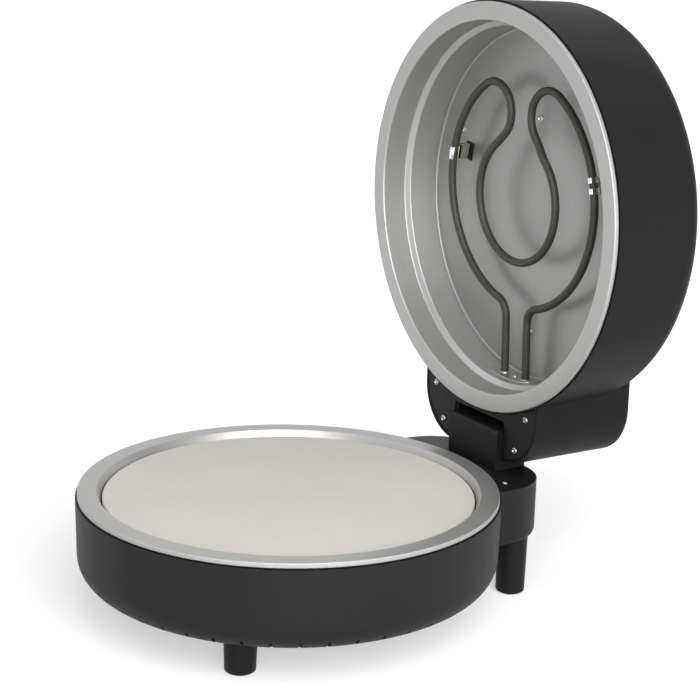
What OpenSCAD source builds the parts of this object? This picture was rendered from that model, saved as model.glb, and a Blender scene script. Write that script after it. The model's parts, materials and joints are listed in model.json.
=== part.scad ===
// Electric pizza maker with a baking stone and a hinged lid.
// Origin: on the axis of the round base, at table level. +Z is up and the lid opens towards +Y.

/* [Stone] */
// Diameter of the baking stone
stone_d = 304; // [240:1:340]
// Thickness of the baking stone
stone_t = 12; // [8:0.5:16]
// Radius on the stone's edges
stone_edge = 1.5; // [0.5:0.1:3]
// Depth of the stone's face below the rim
stone_drop = 5.2; // [3:0.1:8]
// Gap between the stone and the wall of the pan
stone_gap = 4.5; // [2:0.1:6]

/* [Pan and liner sheet] */
// Thickness of the silver sheet
sheet_t = 1; // [0.8:0.1:1.4]
// Width of the flat ring round the pan and the lid liner
rim_w = 15.5; // [10:0.5:22]
// Radius of the bend on the outer edge of the ring
bead_r = 1.5; // [1.2:0.1:3]
// Height of the ring's outer skirt
skirt_h = 3.9; // [3.4:0.1:6]
// Radius of the bend into the recess
bend_r = 2; // [1.6:0.1:3]
// Width of the ledge that the stone lies on
ledge_w = 12; // [8:0.5:18]
// Depth of the pan's floor below the rim
pan_depth = 44; // [38:1:50]

/* [Base] */
// Height of the base's rim above the table
rim_z = 105; // [98:1:125]
// How far the casings stand proud of the silver ring
proud = 1.6; // [0.8:0.1:3]
// Wall of the moulded casings
wall_t = 2.4; // [1.8:0.1:3.2]
// Depth of the base casing's underside below the rim
casing_drop = 73.4; // [66:0.2:80]
// Radius of the base casing's lower edge
casing_fillet = 21.5; // [12:0.5:26]
// Number of vents round the lower edge
vent_n = 48; // [24:2:60]
// Width of one vent
vent_w = 2.6; // [1.5:0.1:4]
// Height of the vents' upper ends above the underside
vent_h = 8.6; // [5:0.2:11]
// Distance of the vents' inner ends outside the casing's flat underside
vent_in = 3; // [1:0.5:8]

/* [Legs] */
// Diameter of a leg at the table
leg_d = 24.6; // [20:0.2:32]
// How much wider a leg is at its top
leg_taper = 1.8; // [0:0.1:3]
// Radius on the leg's lower edge
leg_round = 2.4; // [1:0.1:4]
// How far the front legs' axes lie inside the casing's wall
front_leg_in = 40.4; // [32:0.2:60]
// Half the distance between the rear legs
rear_leg_x = 60.7; // [45:0.5:64]
// Distance of the rear legs' axes behind the round casing
rear_leg_out = 10.9; // [8:0.1:18]
// Diameter of a foot pad
pad_d = 18; // [12:0.5:20]
// Thickness of a foot pad
pad_t = 2; // [1:0.1:3]
// How far a foot pad stands out of its leg
pad_proud = 0.8; // [0.4:0.1:1.2]

/* [Rear block] */
// Width of the block behind the base
block_w = 162; // [150:1:180]
// How far the block reaches behind the round casing
block_reach = 41.4; // [40:0.2:56]
// Radius of the block's rear corners
block_corner = 46; // [20:1:50]
// Depth of the block's top below the rim
block_drop = 5; // [3:0.5:8]
// Height of the block
block_h = 50; // [44:1:54]
// Radius of the block's lower edge
block_fillet = 7; // [2:0.5:10]
// Thickness of the block's top plate
top_t = 3; // [2:0.2:5]

/* [Hinge] */
// Distance of the hinge axis behind the round casing
hinge_reach = 25.4; // [23:0.2:30]
// Height of the hinge axis above the rim
hinge_rise = 17; // [15.5:0.1:18]
// Distance of the post's front face ahead of the hinge axis
post_front = 17.3; // [15:0.1:18]
// Height of the post's top above the hinge axis
post_top = 14; // [11:0.5:15]
// Radius on the post's top edges
post_round = 3.5; // [3:0.1:6]
// Width of the hinge post
post_w = 70.6; // [56:0.2:76]
// Diameter of the hinge pin
pin_d = 8; // [6:0.1:9]
// Radial running clearance of the pin
pin_fit = 0.05; // [0.03:0.01:0.08]
// Gap between the closed rims
rim_gap = 0.4; // [0.2:0.1:1]
// Gap between the post and the notch in the lid
notch_gap = 1.2; // [0.8:0.1:2.4]

/* [Lid casing] */
// Depth of the lid casing above its rim
lid_depth = 92.8; // [86:0.2:100]
// How much the lid casing narrows over its depth
lid_taper = 2.6; // [0:0.1:5]
// Radius round the top of the lid casing
lid_fillet = 16; // [8:0.5:20]
// Width of the hinge housing
housing_w = 163; // [154:1:172]
// How far the housing reaches behind the round casing
housing_reach = 38.8; // [37.4:0.1:39.8]
// Radius of the housing's rear corners
housing_corner = 44; // [30:1:50]
// Depth of the housing above the lid's rim
housing_h = 104.6; // [100:0.2:112]
// How far the housing reaches over the lid, ahead of the casing's wall
housing_over = 65.6; // [56:0.2:78]
// Radius of the housing's front corners
housing_front_r = 14; // [6:1:24]
// Radius round the housing's top
housing_edge = 2.5; // [1:0.1:5]

/* [Lid liner] */
// Depth of the liner's wide wall
step_z = 23.6; // [16:0.2:26]
// Width of the liner's step
step_w = 4.8; // [2:0.1:7]
// Height of the liner's step
step_h = 3.3; // [2:0.1:6]
// Depth of the liner's ceiling
ceiling_z = 56; // [54:0.5:62]
// Radius between the liner's wall and ceiling
ceiling_r = 5; // [3:0.5:8]

/* [Hinge plate] */
// Height of the hinge plate's face above the lid's rim
plate_z = 5.6; // [5:0.1:6.4]
// Thickness of the hinge plate
plate_t = 2.8; // [2:0.1:3.2]
// Gap between the hinge plate and the housing's wall
plate_gap = 0.5; // [0.3:0.1:1]
// Sideways distance of the two front plate screws
screw_x1 = 66; // [60:0.5:68]
// Sideways distance of the two rear plate screws
screw_x2 = 53.3; // [48:0.5:56]
// Distance of the front plate screws ahead of the hinge axis
screw_ahead1 = 31.5; // [24:0.5:34]
// Distance of the rear plate screws ahead of the hinge axis
screw_ahead2 = 1; // [0:0.5:8]
// Head diameter of the visible screws
head_d = 6.2; // [5:0.1:8]
// Thread diameter of the screws
thread_d = 3.6; // [3:0.1:4]

/* [Heating elements] */
// Diameter of the element tube
tube_d = 6.8; // [5.5:0.1:8]
// Half the distance between an element's two ends
tail_x = 15; // [12:0.5:18]
// Radius of the upper element's outer ring
ring_r = 100.5; // [90:0.5:108]
// How far the outer ring's centre sits in front of the lid's axis
ring_v = 12.2; // [4:0.2:16]
// Radius of the upper element's lobes
lobe_r = 24.5; // [18:0.5:26]
// Sideways distance of a lobe's centre
lobe_x = 38.4; // [32:0.2:42]
// Radius of the upper element's inner loop
loop_r = 53.7; // [46:0.1:58]
// How far the inner loop's centre sits in front of the lid's axis
loop_v = 5.9; // [0:0.1:8]
// Bend radius at the upper element's shoulders
shoulder_r = 16; // [12:0.5:24]
// How far the inner loop stands nearer the food than the ring
loop_drop = 3; // [0:0.1:5]
// Height of the upper element above the lid's rim, at its plate
tail_z = 42.5; // [40:0.5:46]
// Lean of the upper element towards the food, in degrees
lean = 1.8; // [0:0.1:3]
// Radius of the lower element's ring
lower_r = 104; // [90:1:112]
// Depth of the lower element below the rim
lower_z = 30; // [28:0.5:34]

/* [Handle and controls] */
// Outer radius of the arched lid handle
arch_r = 58; // [52:1:66]
// How far the arch's centre lies below the lid's top
arch_sink = 22; // [14:1:28]
// Width of the handle's strap
strap_w = 24; // [16:1:30]
// Thickness of the handle's strap
strap_t = 9; // [7:0.5:12]
// Distance of the handle in front of the lid's axis
handle_v = 112; // [90:1:118]
// Diameter of the thermostat knob
knob_d = 38; // [30:1:44]
// Height of the thermostat knob
knob_h = 15; // [12:0.5:20]
// Sideways place of the knob
knob_x = 28; // [20:1:36]
// Distance of the controls ahead of the casing's wall
control_in = 16.6; // [12:0.2:24]
// Diameter of an indicator lens
lens_d = 9; // [6:0.5:12]
// Diameter of the cable gland's hole
gland_d = 8; // [6:0.5:10]

/* [Hidden] */
$fn = 96;
eps = 0.01;                 // overreach of a cutter
lid_open = 90;              // the lid is drawn open, resting on its stop
seat = 0.2;                 // gap under a piece that only lies on another
free = 0.3;                 // gap beside a piece that passes through another
charcoal = "#2e2e30";
black = "#1c1c1e";
silver = "#c9cbcd";
steel = "#9a9da0";

// the round parts
open_r = stone_d / 2 + stone_gap;            // inner edge of the flat ring
rim_r = open_r + rim_w;                      // outer edge of the bead
casing_r = rim_r + proud;                    // outer radius of both casings
casing_top = rim_z - skirt_h - 1;            // upper edge of the base casing
casing_z = rim_z - casing_drop;              // underside of the base casing
seat_z = rim_z - stone_drop - stone_t - seat; // ledge under the stone
well_r = open_r - ledge_w;                   // wall of the pan's lower part
pan_floor = rim_z - pan_depth;               // upper face of the pan's floor
// places behind the round casing
hinge_y = casing_r + hinge_reach;            // hinge axis
block_back = casing_r + block_reach;
rear_leg_y = casing_r + rear_leg_out;
front_leg_r = casing_r - front_leg_in;
housing_back = casing_r + housing_reach;
housing_front = casing_r - housing_over;
screw_y1 = hinge_y - screw_ahead1;           // plate screws
screw_y2 = hinge_y - screw_ahead2;
control_y = casing_r - control_in;           // knob and lamps
// the rear block
block_top = rim_z - block_drop;
block_z = block_top - block_h;
block_front = block_back - 2 * block_corner - 10; // hidden ahead of the round casing
block_bosses = [[63.3, hinge_y - 27], [-52, hinge_y + 5]]; // screws that hold the block's top
terminal_x = 2;                              // place of the terminal block
terminal_y = hinge_y - 3;
terminal_size = [44, 18, 15];
terminal_pitch = 13;
lead_way = [60, 40, 22];                     // opening for the leads, from the base into the block
// the hinge
hinge_z = rim_z + hinge_rise;
lid_z = rim_z + rim_gap;                     // the closed lid's rim
axis_h = hinge_z - lid_z;                    // hinge axis above the lid's rim
ear_t = 6;                                   // thickness of a hinge bracket's ear
ear_gap = 2.5;                               // post to ear
ear_x = post_w / 2 + ear_gap;                // inner face of an ear
bush_wall = 1.5;
bush_flange = 1.2;
clip_t = 1.2;
clip_gap = 0.3;
pin_half = ear_x + ear_t + clip_gap + clip_t + 2;
notch_x = post_w / 2 + notch_gap;
post_back = 14;                              // back face of the post, behind the hinge axis
// the hinge housing
housing_z = plate_z - 0.5;                   // lower edge of the housing above the lid's rim
flange_t = 2.6;                              // hinge bracket on the back of the plate
boss_d = 9;
// fasteners
spacer_d = 9;
spacer_r = 118;                              // circle of the pan's spacers, clear of the legs
spacer_a = [20, 160, 200, 340];
tap_d = thread_d - 0.4;
head_h = 1.3;
long_screw = 12;
short_screw = 10;
plate_screw = 14;
// element fittings
plate_half = 28;                             // half the width of the element's plate
plate_h = 20;
element_plate_t = 2.5;
lower_wall = open_r - step_w;                // narrow wall of the liner
plate_y = sqrt(lower_wall * lower_wall - plate_half * plate_half) - seat;
clip_a = 12;                                 // place of the upper clips round the ring
clip_v = ring_v + ring_r * sin(clip_a);
clip_x = ring_r * cos(clip_a);
tail_end = casing_r + 14;                    // ends of the element's tails in the housing
tab_l = 7;                                   // tab on the end of a tail
lead_d = 2.4;
sensor_h = 8;                                // ceramic block under the left clip
spacer_front = 74;                           // liner spacers in front of and behind the axis
spacer_back = 111;
handle_pad = 28;                             // width of the handle's foot
control_z = housing_h - wall_t;              // underside of the housing's top
room_z = control_z - 18.4;                   // floor of the control room in the housing
thermostat_size = [30, 34, 15];
lamp_x = [-22, -48];
handle_x = sqrt(arch_r * arch_r - arch_sink * arch_sink) - strap_t / 2;
notch_reach = 4.4;                           // how far the plate's slot reaches ahead of the post
leg_bite = 10;                               // plastic between a leg screw's head and the leg's top
// the lower element's bends meet its ring from outside
lower_bend = 14;
lower_bend_y = sqrt(pow(lower_r + lower_bend, 2) - pow(tail_x + lower_bend, 2));
lower_touch = atan2(lower_bend_y, tail_x + lower_bend);
lower_end = casing_r - 12;
// the upper element in plan: v runs towards the lid's front
shoulder_v = ring_v - sqrt(pow(ring_r + shoulder_r, 2) - pow(tail_x + shoulder_r, 2));
shoulder_touch = atan2(ring_v - shoulder_v, tail_x + shoulder_r);
lobe_v = ring_v + sqrt(pow(ring_r - lobe_r, 2) - lobe_x * lobe_x);
lobe_touch = atan2(lobe_v - ring_v, lobe_x);
cross_l = norm([lobe_x, lobe_v - loop_v]);
cross_a = atan2(lobe_v - loop_v, lobe_x) - acos((loop_r + lobe_r) / cross_l);
// places of the four plate screws
plate_screws = [[-screw_x1, screw_y1], [screw_x1, screw_y1], [-screw_x2, screw_y2], [screw_x2, screw_y2]];
flange_z = plate_z + plate_t;                // upper face of the plate
boss_z = flange_z + flange_t;                // lower end of a screw boss

// a bend of the sheet: a quarter ring with centre (x, z), from angle a
module bend(x, z, r, t, a) {
  translate([x, z]) rotate(a) intersection() {
    difference() { circle(r); circle(r - t); }
    square(r + 1);
  }
}

// the silver ring with its bead and skirt, in section: the ring's face at z = 0, sheet below it
module ring_section() {
  translate([open_r + bend_r, -sheet_t]) square([rim_w - bead_r - bend_r, sheet_t]);
  bend(rim_r - bead_r, -bead_r, bead_r, sheet_t, 0);
  translate([rim_r - sheet_t, -skirt_h]) square([sheet_t, skirt_h - bead_r]);
  bend(open_r + bend_r, -bend_r, bend_r, sheet_t, 90);
}

// a tub's section: radius r at the floor level 0, r + draft at height h, lower edge radius f
module tub_section(r, draft, h, f) {
  square([r - f, h]);
  translate([r - f, f]) intersection() {
    circle(f);
    translate([-f, -f]) square([2 * f, f]);
  }
  polygon([[0, f], [r, f], [r + draft, h], [0, h]]);
}

// a slab w by d by h with vertical corner radii r and edge radius f round its lower face
module soft_slab(w, d, h, r, f) {
  module edge(x) {
    translate([0, f]) square([x, h - f]);
    square([x - f, h]);
    translate([x - f, f]) circle(f);
  }
  for (sx = [-1, 1], sy = [-1, 1])
    translate([sx * (w / 2 - r), sy * (d / 2 - r), 0]) rotate_extrude()
      intersection() { edge(r); square([r, h]); }
  translate([0, d / 2 - r, 0]) rotate([90, 0, 0]) linear_extrude(d - 2 * r)
    for (s = [0, 1]) mirror([s, 0]) edge(w / 2);
  translate([-(w / 2 - r), 0, 0]) rotate([90, 0, 90]) linear_extrude(w - 2 * r)
    for (s = [0, 1]) mirror([s, 0]) edge(d / 2);
}

// a flat slab with four vertical corner radii
module round_slab(w, d, h, r) {
  for (sx = [-1, 1], sy = [-1, 1])
    translate([sx * (w / 2 - r), sy * (d / 2 - r), 0]) cylinder(h = h, r = r);
  translate([-w / 2, -(d / 2 - r), 0]) cube([w, d - 2 * r, h]);
  translate([-(w / 2 - r), -d / 2, 0]) cube([w - 2 * r, d, h]);
}

// a round rod between two points
module rod(p, q, d) {
  v = q - p;
  translate(p) rotate([0, acos(v[2] / norm(v)), atan2(v[1], v[0])])
    cylinder(h = norm(v), d = d);
}

// a bend of a tube in the XY plane, from angle a over the angle b; its ends stop just short,
// inside the joints
module tube_arc(x, y, r, a, b, d) {
  short = 12 / r;
  translate([x, y, 0]) rotate([0, 0, a + short]) rotate_extrude(angle = b - 2 * short)
    translate([r, 0]) circle(d = d);
}

// a swaged joint between two lengths of tube, at p and along v
module tube_joint(p, v, d) {
  u = 0.7 * v / norm(v);
  rod(p - u, p + u, d + 0.2);
}

// the point at angle a on a circle of radius r round (x, y), and the direction there
function on_circle(x, y, r, a) = [x + r * cos(a), y + r * sin(a), 0];
function along(a) = [-sin(a), cos(a), 0];

// a lead that runs through its points, with rounded corners
module lead(points, d) {
  for (i = [0 : len(points) - 2]) rod(points[i], points[i + 1], d);
  for (i = [1 : len(points) - 2]) translate(points[i]) sphere(d = d + 0.2);
}

// a screw with its head's underside at the origin and its shank along -Z
module screw(length) {
  cylinder(h = head_h, d1 = head_d, d2 = head_d - 1.4);
  translate([0, 0, -length]) cylinder(h = length + eps, d = tap_d);
}

// everything in the lid is drawn closed and then swung open
module swing() {
  translate([0, hinge_y, hinge_z]) rotate([-lid_open, 0, 0])
    translate([0, -hinge_y, -hinge_z]) translate([0, 0, lid_z]) children();
}

// ---- base ----

module base_casing() {
  color(charcoal) difference() {
    translate([0, 0, casing_z]) rotate_extrude($fn = 180) difference() {
      tub_section(casing_r - 0.8, 0.8, casing_top - casing_z, casing_fillet);
      translate([0, wall_t])
        tub_section(casing_r - 0.8 - wall_t, 0.8, casing_top - casing_z, casing_fillet - wall_t);
    }
    for (i = [0 : vent_n - 1]) rotate([0, 0, (i + 0.5) * 360 / vent_n])
      translate([casing_r - casing_fillet + vent_in, -vent_w / 2, casing_z - 1])
        cube([casing_fillet, vent_w, vent_h + 1]);
    leg_bolts();
    for (a = spacer_a) rotate([0, 0, a]) translate([spacer_r, 0, casing_z - 1])
      cylinder(h = wall_t + 2, d = thread_d + 0.4);
    // way for the leads into the rear block
    translate([-lead_way[0] / 2, casing_r - 30, block_z + 12]) cube(lead_way);
  }
}

module base_pan() {
  color(silver) difference() {
    rotate_extrude($fn = 180) {
      translate([0, rim_z]) ring_section();
      translate([open_r, seat_z - sheet_t])
        square([sheet_t, rim_z - bend_r - seat_z + sheet_t]);
      translate([well_r, seat_z - sheet_t]) square([ledge_w, sheet_t]);
      translate([well_r, pan_floor - sheet_t]) square([sheet_t, seat_z - pan_floor]);
      translate([0, pan_floor - sheet_t]) square([well_r, sheet_t]);
    }
    for (s = [-1, 1]) translate([s * tail_x, 0, rim_z - lower_z]) rotate([-90, 0, 0])
      cylinder(h = open_r, d = tube_d + 2 * free);
    for (a = spacer_a) rotate([0, 0, a]) translate([spacer_r, 0, pan_floor - 3])
      cylinder(h = 5, d = thread_d + 0.4);
  }
}

module pan_spacers() {
  color(steel) for (a = spacer_a) rotate([0, 0, a])
    translate([spacer_r, 0, casing_z + wall_t]) difference() {
      cylinder(h = pan_floor - sheet_t - casing_z - wall_t, d = spacer_d);
      translate([0, 0, -eps]) cylinder(h = 14, d = thread_d);
      translate([0, 0, pan_floor - casing_z - 14]) cylinder(h = 14, d = thread_d);
    }
}

module pan_screws() {
  color(steel) for (a = spacer_a) rotate([0, 0, a]) {
    translate([spacer_r, 0, casing_z]) mirror([0, 0, 1]) screw(long_screw);
    translate([spacer_r, 0, pan_floor]) screw(short_screw);
  }
}

module pizza_stone() {
  color("#cfcdc1") translate([0, 0, rim_z - stone_drop - stone_t]) rotate_extrude($fn = 180) {
    translate([0, stone_edge]) square([stone_d / 2, stone_t - 2 * stone_edge]);
    square([stone_d / 2 - stone_edge, stone_t]);
    for (z = [stone_edge, stone_t - stone_edge])
      translate([stone_d / 2 - stone_edge, z]) circle(stone_edge);
  }
}

module lower_element() {
  color("#55534e") translate([0, 0, rim_z - lower_z]) {
    tube_arc(0, 0, lower_r, 180 - lower_touch, 180 + 2 * lower_touch, tube_d);
    for (s = [0, 1]) mirror([s, 0, 0]) {
      tube_arc(tail_x + lower_bend, lower_bend_y, lower_bend, 180, lower_touch, tube_d);
      tube_joint(on_circle(0, 0, lower_r, lower_touch), along(lower_touch), tube_d);
      tube_joint([tail_x, lower_bend_y, 0], [0, 1, 0], tube_d);
      rod([tail_x, lower_bend_y, 0], [tail_x, lower_end, 0], tube_d);
    }
  }
}

module lower_element_clips() {
  clip_w = 8;
  z = rim_z - lower_z;
  color(steel) for (a = [30, 150, 270]) rotate([0, 0, a]) translate([lower_r, 0, 0]) {
    difference() {
      union() {
        translate([0, clip_w / 2, z]) rotate([90, 0, 0])
          cylinder(h = clip_w, d = tube_d + 2 * free + 2);
        translate([-(tube_d / 2 + free + 1), -clip_w / 2, pan_floor])
          cube([tube_d + 2 * free + 2, clip_w, z - pan_floor]);
      }
      rotate([0, 0, 0]) translate([-lower_r, 0, z]) rotate([0, 0, -5]) rotate_extrude(angle = 10)
        translate([lower_r, 0]) circle(d = tube_d + 2 * free);
      translate([-tube_d / 2 - free, -clip_w, pan_floor + 1.2])
        cube([tube_d + 2 * free, 2 * clip_w, z - pan_floor - tube_d / 2 - 2.4]);
    }
  }
}

// a ceramic sleeve and a tab at the end of an element's tail, which points along -Y
module terminal() {
  translate([0, 1, 0]) rotate([-90, 0, 0]) difference() {
    cylinder(h = 8, d = tube_d + 4);
    translate([0, 0, -eps]) cylinder(h = 8 + 2 * eps, d = tube_d + 2 * free);
  }
  translate([-3, -tab_l, -0.4]) cube([6, tab_l - eps, 0.8]);
}

module lower_terminals() {
  color("#d8d2c4") for (s = [-1, 1]) translate([s * tail_x, lower_end, rim_z - lower_z])
    mirror([0, 1, 0]) terminal();
}

module thermal_cutout() {
  color("#3a3d40") translate([0, 62, pan_floor - sheet_t]) mirror([0, 0, 1]) {
    cylinder(h = 1.5, d = 24);
    cylinder(h = 9, d = 16);
    for (s = [-1, 1]) translate([s * 5 - 0.4, -3, 9]) cube([0.8, 6, 7]);
  }
}

// outline of the rear block, in plan, clear of the round casing
module block_body(inset, h, f) {
  depth = block_back - block_front;
  translate([0, block_front + depth / 2, 0])
    soft_slab(block_w - 2 * inset, depth - 2 * inset, h, block_corner - inset, f);
}

module rear_block() {
  color(charcoal) translate([0, 0, block_z]) difference() {
    block_body(0, block_h - top_t, block_fillet);
    difference() {
      translate([0, 0, wall_t]) block_body(wall_t, block_h, max(block_fillet - wall_t, 0.5));
      for (p = block_bosses) translate([p[0], p[1], 0]) cylinder(h = block_h - top_t, d = boss_d);
    }
    for (p = block_bosses) translate([p[0], p[1], block_h - top_t - 10])
      cylinder(h = 11, d = thread_d);
    translate([0, 0, -block_z]) cylinder(h = rim_z, r = casing_r + free, $fn = 180);
    for (s = [-1, 1]) translate([s * rear_leg_x, rear_leg_y, -1])
      cylinder(h = wall_t + 2, d = thread_d + 0.4);
    translate([-block_w / 4, block_back + 1, block_h / 2 - 4]) rotate([90, 0, 0])
      cylinder(h = wall_t + 6, d = gland_d + 4);
  }
}

module rear_block_top() {
  depth = block_back - block_front;
  color(black) difference() {
    translate([0, block_front + depth / 2, block_top]) mirror([0, 0, 1])
      soft_slab(block_w, depth, top_t, block_corner, 0.8);
    cylinder(h = rim_z, r = casing_r + free, $fn = 180);
    for (p = concat(block_bosses, [[-post_w / 4, hinge_y], [post_w / 4, hinge_y]]))
      translate([p[0], p[1], block_top - top_t - 1]) cylinder(h = top_t + 2, d = thread_d + 0.4);
  }
}

module block_screws() {
  color(steel) for (p = block_bosses) translate([p[0], p[1], block_top]) screw(short_screw);
}

module hinge_post() {
  h = hinge_z - block_top + post_top;
  depth = post_front + post_back;
  color(black) difference() {
    translate([-post_w / 2, hinge_y - post_front, block_top]) rotate([90, 0, 90]) linear_extrude(post_w) {
      square([depth, h - post_round]);
      translate([post_round, 0]) square([depth - 2 * post_round, h]);
      for (y = [post_round, depth - post_round]) translate([y, h - post_round]) circle(post_round);
    }
    translate([-post_w / 2 - 1, hinge_y, hinge_z]) rotate([0, 90, 0])
      cylinder(h = post_w + 2, d = pin_d + 2 * pin_fit);
    for (s = [-1, 1]) translate([s * post_w / 4, hinge_y, block_top - 1])
      cylinder(h = 13, d = thread_d);
  }
}

module hinge_post_screws() {
  color(steel) for (s = [-1, 1]) translate([s * post_w / 4, hinge_y, block_top - top_t])
    mirror([0, 0, 1]) screw(short_screw);
}

module hinge_pin() {
  groove = pin_half - 2 - clip_t;
  color(silver) translate([0, hinge_y, hinge_z]) rotate([0, 90, 0]) difference() {
    translate([0, 0, -pin_half]) cylinder(h = 2 * pin_half, d = pin_d);
    for (s = [0, 1]) mirror([0, 0, s]) translate([0, 0, groove]) difference() {
      cylinder(h = clip_t, d = pin_d + 1);
      translate([0, 0, -eps]) cylinder(h = clip_t + 2 * eps, d = pin_d - 1.6);
    }
  }
}

module pin_clips() {
  groove = pin_half - 2 - clip_t;
  color(steel) translate([0, hinge_y, hinge_z]) rotate([0, 90, 0])
    for (s = [0, 1]) mirror([0, 0, s]) translate([0, 0, groove + 0.1]) difference() {
      cylinder(h = clip_t - 0.2, d = pin_d + 2.4);
      translate([0, 0, -eps]) cylinder(h = clip_t, d = pin_d - 1.4);
      translate([0, -1.6, -eps]) cube([pin_d, 3.2, clip_t]);
    }
}

module cable_gland() {
  color(black) translate([-block_w / 4, block_back, block_z + block_h / 2 - 4]) rotate([90, 0, 0])
    difference() {
      union() {
        translate([0, 0, -3]) cylinder(h = 3, d = gland_d + 8);
        cylinder(h = wall_t + 4, d = gland_d + 4 - 2 * seat);
      }
      translate([0, 0, -4]) cylinder(h = wall_t + 10, d = gland_d);
    }
}

module terminal_block() {
  size = terminal_size;
  color("#e4e1d6") translate([terminal_x - size[0] / 2, terminal_y - size[1] / 2, block_z + wall_t])
    difference() {
      cube(size);
      for (i = [-1 : 1]) translate([size[0] / 2 + i * terminal_pitch, 0, 0]) {
        translate([0, size[1] / 2, 6]) cylinder(h = size[2], d = 5);
        translate([0, -1, 7.5]) rotate([-90, 0, 0]) cylinder(h = size[1] + 2, d = 3.4);
      }
    }
}

module base_leads() {
  z = rim_z - lower_z;
  y = lower_end + tab_l;
  down = block_z + wall_t + 7.5;
  color("#b7a98a") for (s = [-1, 1])
    lead([[s * tail_x, y, z], [s * tail_x, casing_r + 6, z],
          [s * terminal_pitch + terminal_x, casing_r + 6, down],
          [s * terminal_pitch + terminal_x, terminal_y - 4, down]], lead_d);
}

// a leg with its top at height h, standing at the origin
module leg(h) {
  color(black) difference() {
    rotate_extrude() {
      translate([0, pad_proud]) {
        square([leg_d / 2 - leg_round, h - pad_proud]);
        translate([leg_d / 2 - leg_round, leg_round]) circle(leg_round);
        polygon([[0, leg_round], [leg_d / 2, leg_round],
                 [leg_d / 2 + leg_taper / 2, h - pad_proud], [0, h - pad_proud]]);
      }
    }
    translate([0, 0, -eps]) cylinder(h = pad_t, d = pad_d + 2 * free);
    translate([0, 0, -eps]) cylinder(h = h - leg_bite + eps, d = head_d + 1);
    translate([0, 0, -eps]) cylinder(h = h + 1, d = thread_d + 0.4);
  }
}

// places of the legs: x, y and the height of their seat
function leg_place(i) = i < 2 ? [(2 * i - 1) * front_leg_r * cos(45), -front_leg_r * sin(45), casing_z]
                              : [(2 * i - 5) * rear_leg_x, rear_leg_y, block_z];

module leg_at(i) {
  p = leg_place(i);
  if (i < 2) translate([p[0], p[1], 0]) leg(p[2]);
  // the rear legs reach up round the block's lower edge
  if (i > 1) difference() {
    translate([p[0], p[1], 0]) leg(p[2] + 4);
    color(black) translate([0, 0, block_z]) block_body(0, block_h - top_t, block_fillet);
    translate([p[0], p[1], -1]) cylinder(h = p[2] - leg_bite + 1, d = head_d + 1);
  }
}

module leg_bolts() {
  for (i = [0 : 1]) translate([leg_place(i)[0], leg_place(i)[1], casing_z - 1])
    cylinder(h = wall_t + 2, d = thread_d + 0.4);
}

module leg_screws() {
  color(steel) for (i = [0 : 3]) translate([leg_place(i)[0], leg_place(i)[1], leg_place(i)[2] - leg_bite])
    mirror([0, 0, 1]) screw(leg_bite + wall_t + 4);
}

module foot_pads() {
  color("#101010") for (i = [0 : 3]) translate([leg_place(i)[0], leg_place(i)[1], 0])
    cylinder(h = pad_t - seat, d = pad_d);
}

// ---- lid, drawn closed with the rim at z = 0 ----

// the hinge housing's outline in plan, as a block from z0 to z1, inset all round
module housing_block(inset, z0, z1, edge) {
  w = housing_w - 2 * inset;
  back = housing_back - inset;
  front = housing_front + inset;
  half = w / 2;
  r = housing_corner - inset;
  rf = housing_front_r - min(inset, housing_front_r - 1);
  h = z1 - z0;
  module side(x) {
    square([x, h - edge]);
    square([x - edge, h]);
    translate([x - edge, h - edge]) circle(edge);
  }
  translate([0, 0, z0]) {
    for (s = [-1, 1]) {
      translate([s * (half - r), back - r, 0]) rotate_extrude() intersection() {
        side(r);
        square([r, h]);
      }
      translate([s * (half - rf), front + rf, 0]) rotate_extrude() intersection() {
        side(rf);
        square([rf, h]);
      }
    }
    translate([0, back - r, 0]) rotate([90, 0, 0]) linear_extrude(back - r - front - rf)
      for (s = [0, 1]) mirror([s, 0]) side(half);
    // the strip along the back
    translate([-(half - r), back - r, 0]) rotate([90, 0, 90]) linear_extrude(2 * (half - r)) side(r);
    // the strip along the front
    translate([half - rf, front + rf, 0]) rotate([90, 0, -90]) linear_extrude(2 * (half - rf)) side(rf);
  }
}

module lid_tub(inset, extra) {
  translate([0, 0, lid_depth - inset]) mirror([0, 0, 1]) rotate_extrude($fn = 180)
    tub_section(casing_r - lid_taper - inset, lid_taper, lid_depth - inset - skirt_h - 0.6 + extra,
                lid_fillet - inset);
}

module lid_casing() {
  color(charcoal) swing() difference() {
    union() {
      lid_tub(0, 0);
      housing_block(0, housing_z, housing_h, housing_edge);
    }
    lid_tub(wall_t, 1);
    // hollow behind the round wall, with the screw bosses left standing
    difference() {
      housing_block(wall_t, housing_z - 1, control_z, 0.5);
      lid_tub(0, 0);
      for (p = plate_screws) translate([p[0], p[1], boss_z])
        cylinder(h = housing_h - boss_z, d = boss_d);
    }
    // room for the controls under the housing's top
    intersection() {
      housing_block(wall_t, room_z, control_z, 0.5);
      translate([-housing_w / 2, housing_front, room_z])
        cube([housing_w, casing_r - housing_front - 4, housing_h]);
    }
    // window for the element's tails
    translate([-plate_half - 2, lower_wall, tail_z - 11]) cube([2 * plate_half + 4, 40, 22]);
    // notch for the hinge post
    translate([-notch_x, hinge_y, housing_z - 1])
      cube([2 * notch_x, housing_back, axis_h + post_back + seat - housing_z + 1]);
    for (p = plate_screws) translate([p[0], p[1], boss_z - 1]) cylinder(h = 12, d = thread_d);
    translate([knob_x, control_y, control_z - 1]) cylinder(h = 2 * wall_t + 2, d = 8);
    for (x = lamp_x) translate([x, control_y, control_z - 1])
      cylinder(h = 2 * wall_t + 2, d = lens_d - 1);
    for (s = [-1, 1]) translate([s * handle_x, -handle_v, lid_depth - wall_t - 1])
      cylinder(h = 2 * wall_t + 2, d = thread_d + 0.4);
    for (y = [-spacer_front, spacer_back]) translate([0, y, lid_depth - wall_t - 2.5])
      cylinder(h = 2.7, d = thread_d);
  }
}

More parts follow.
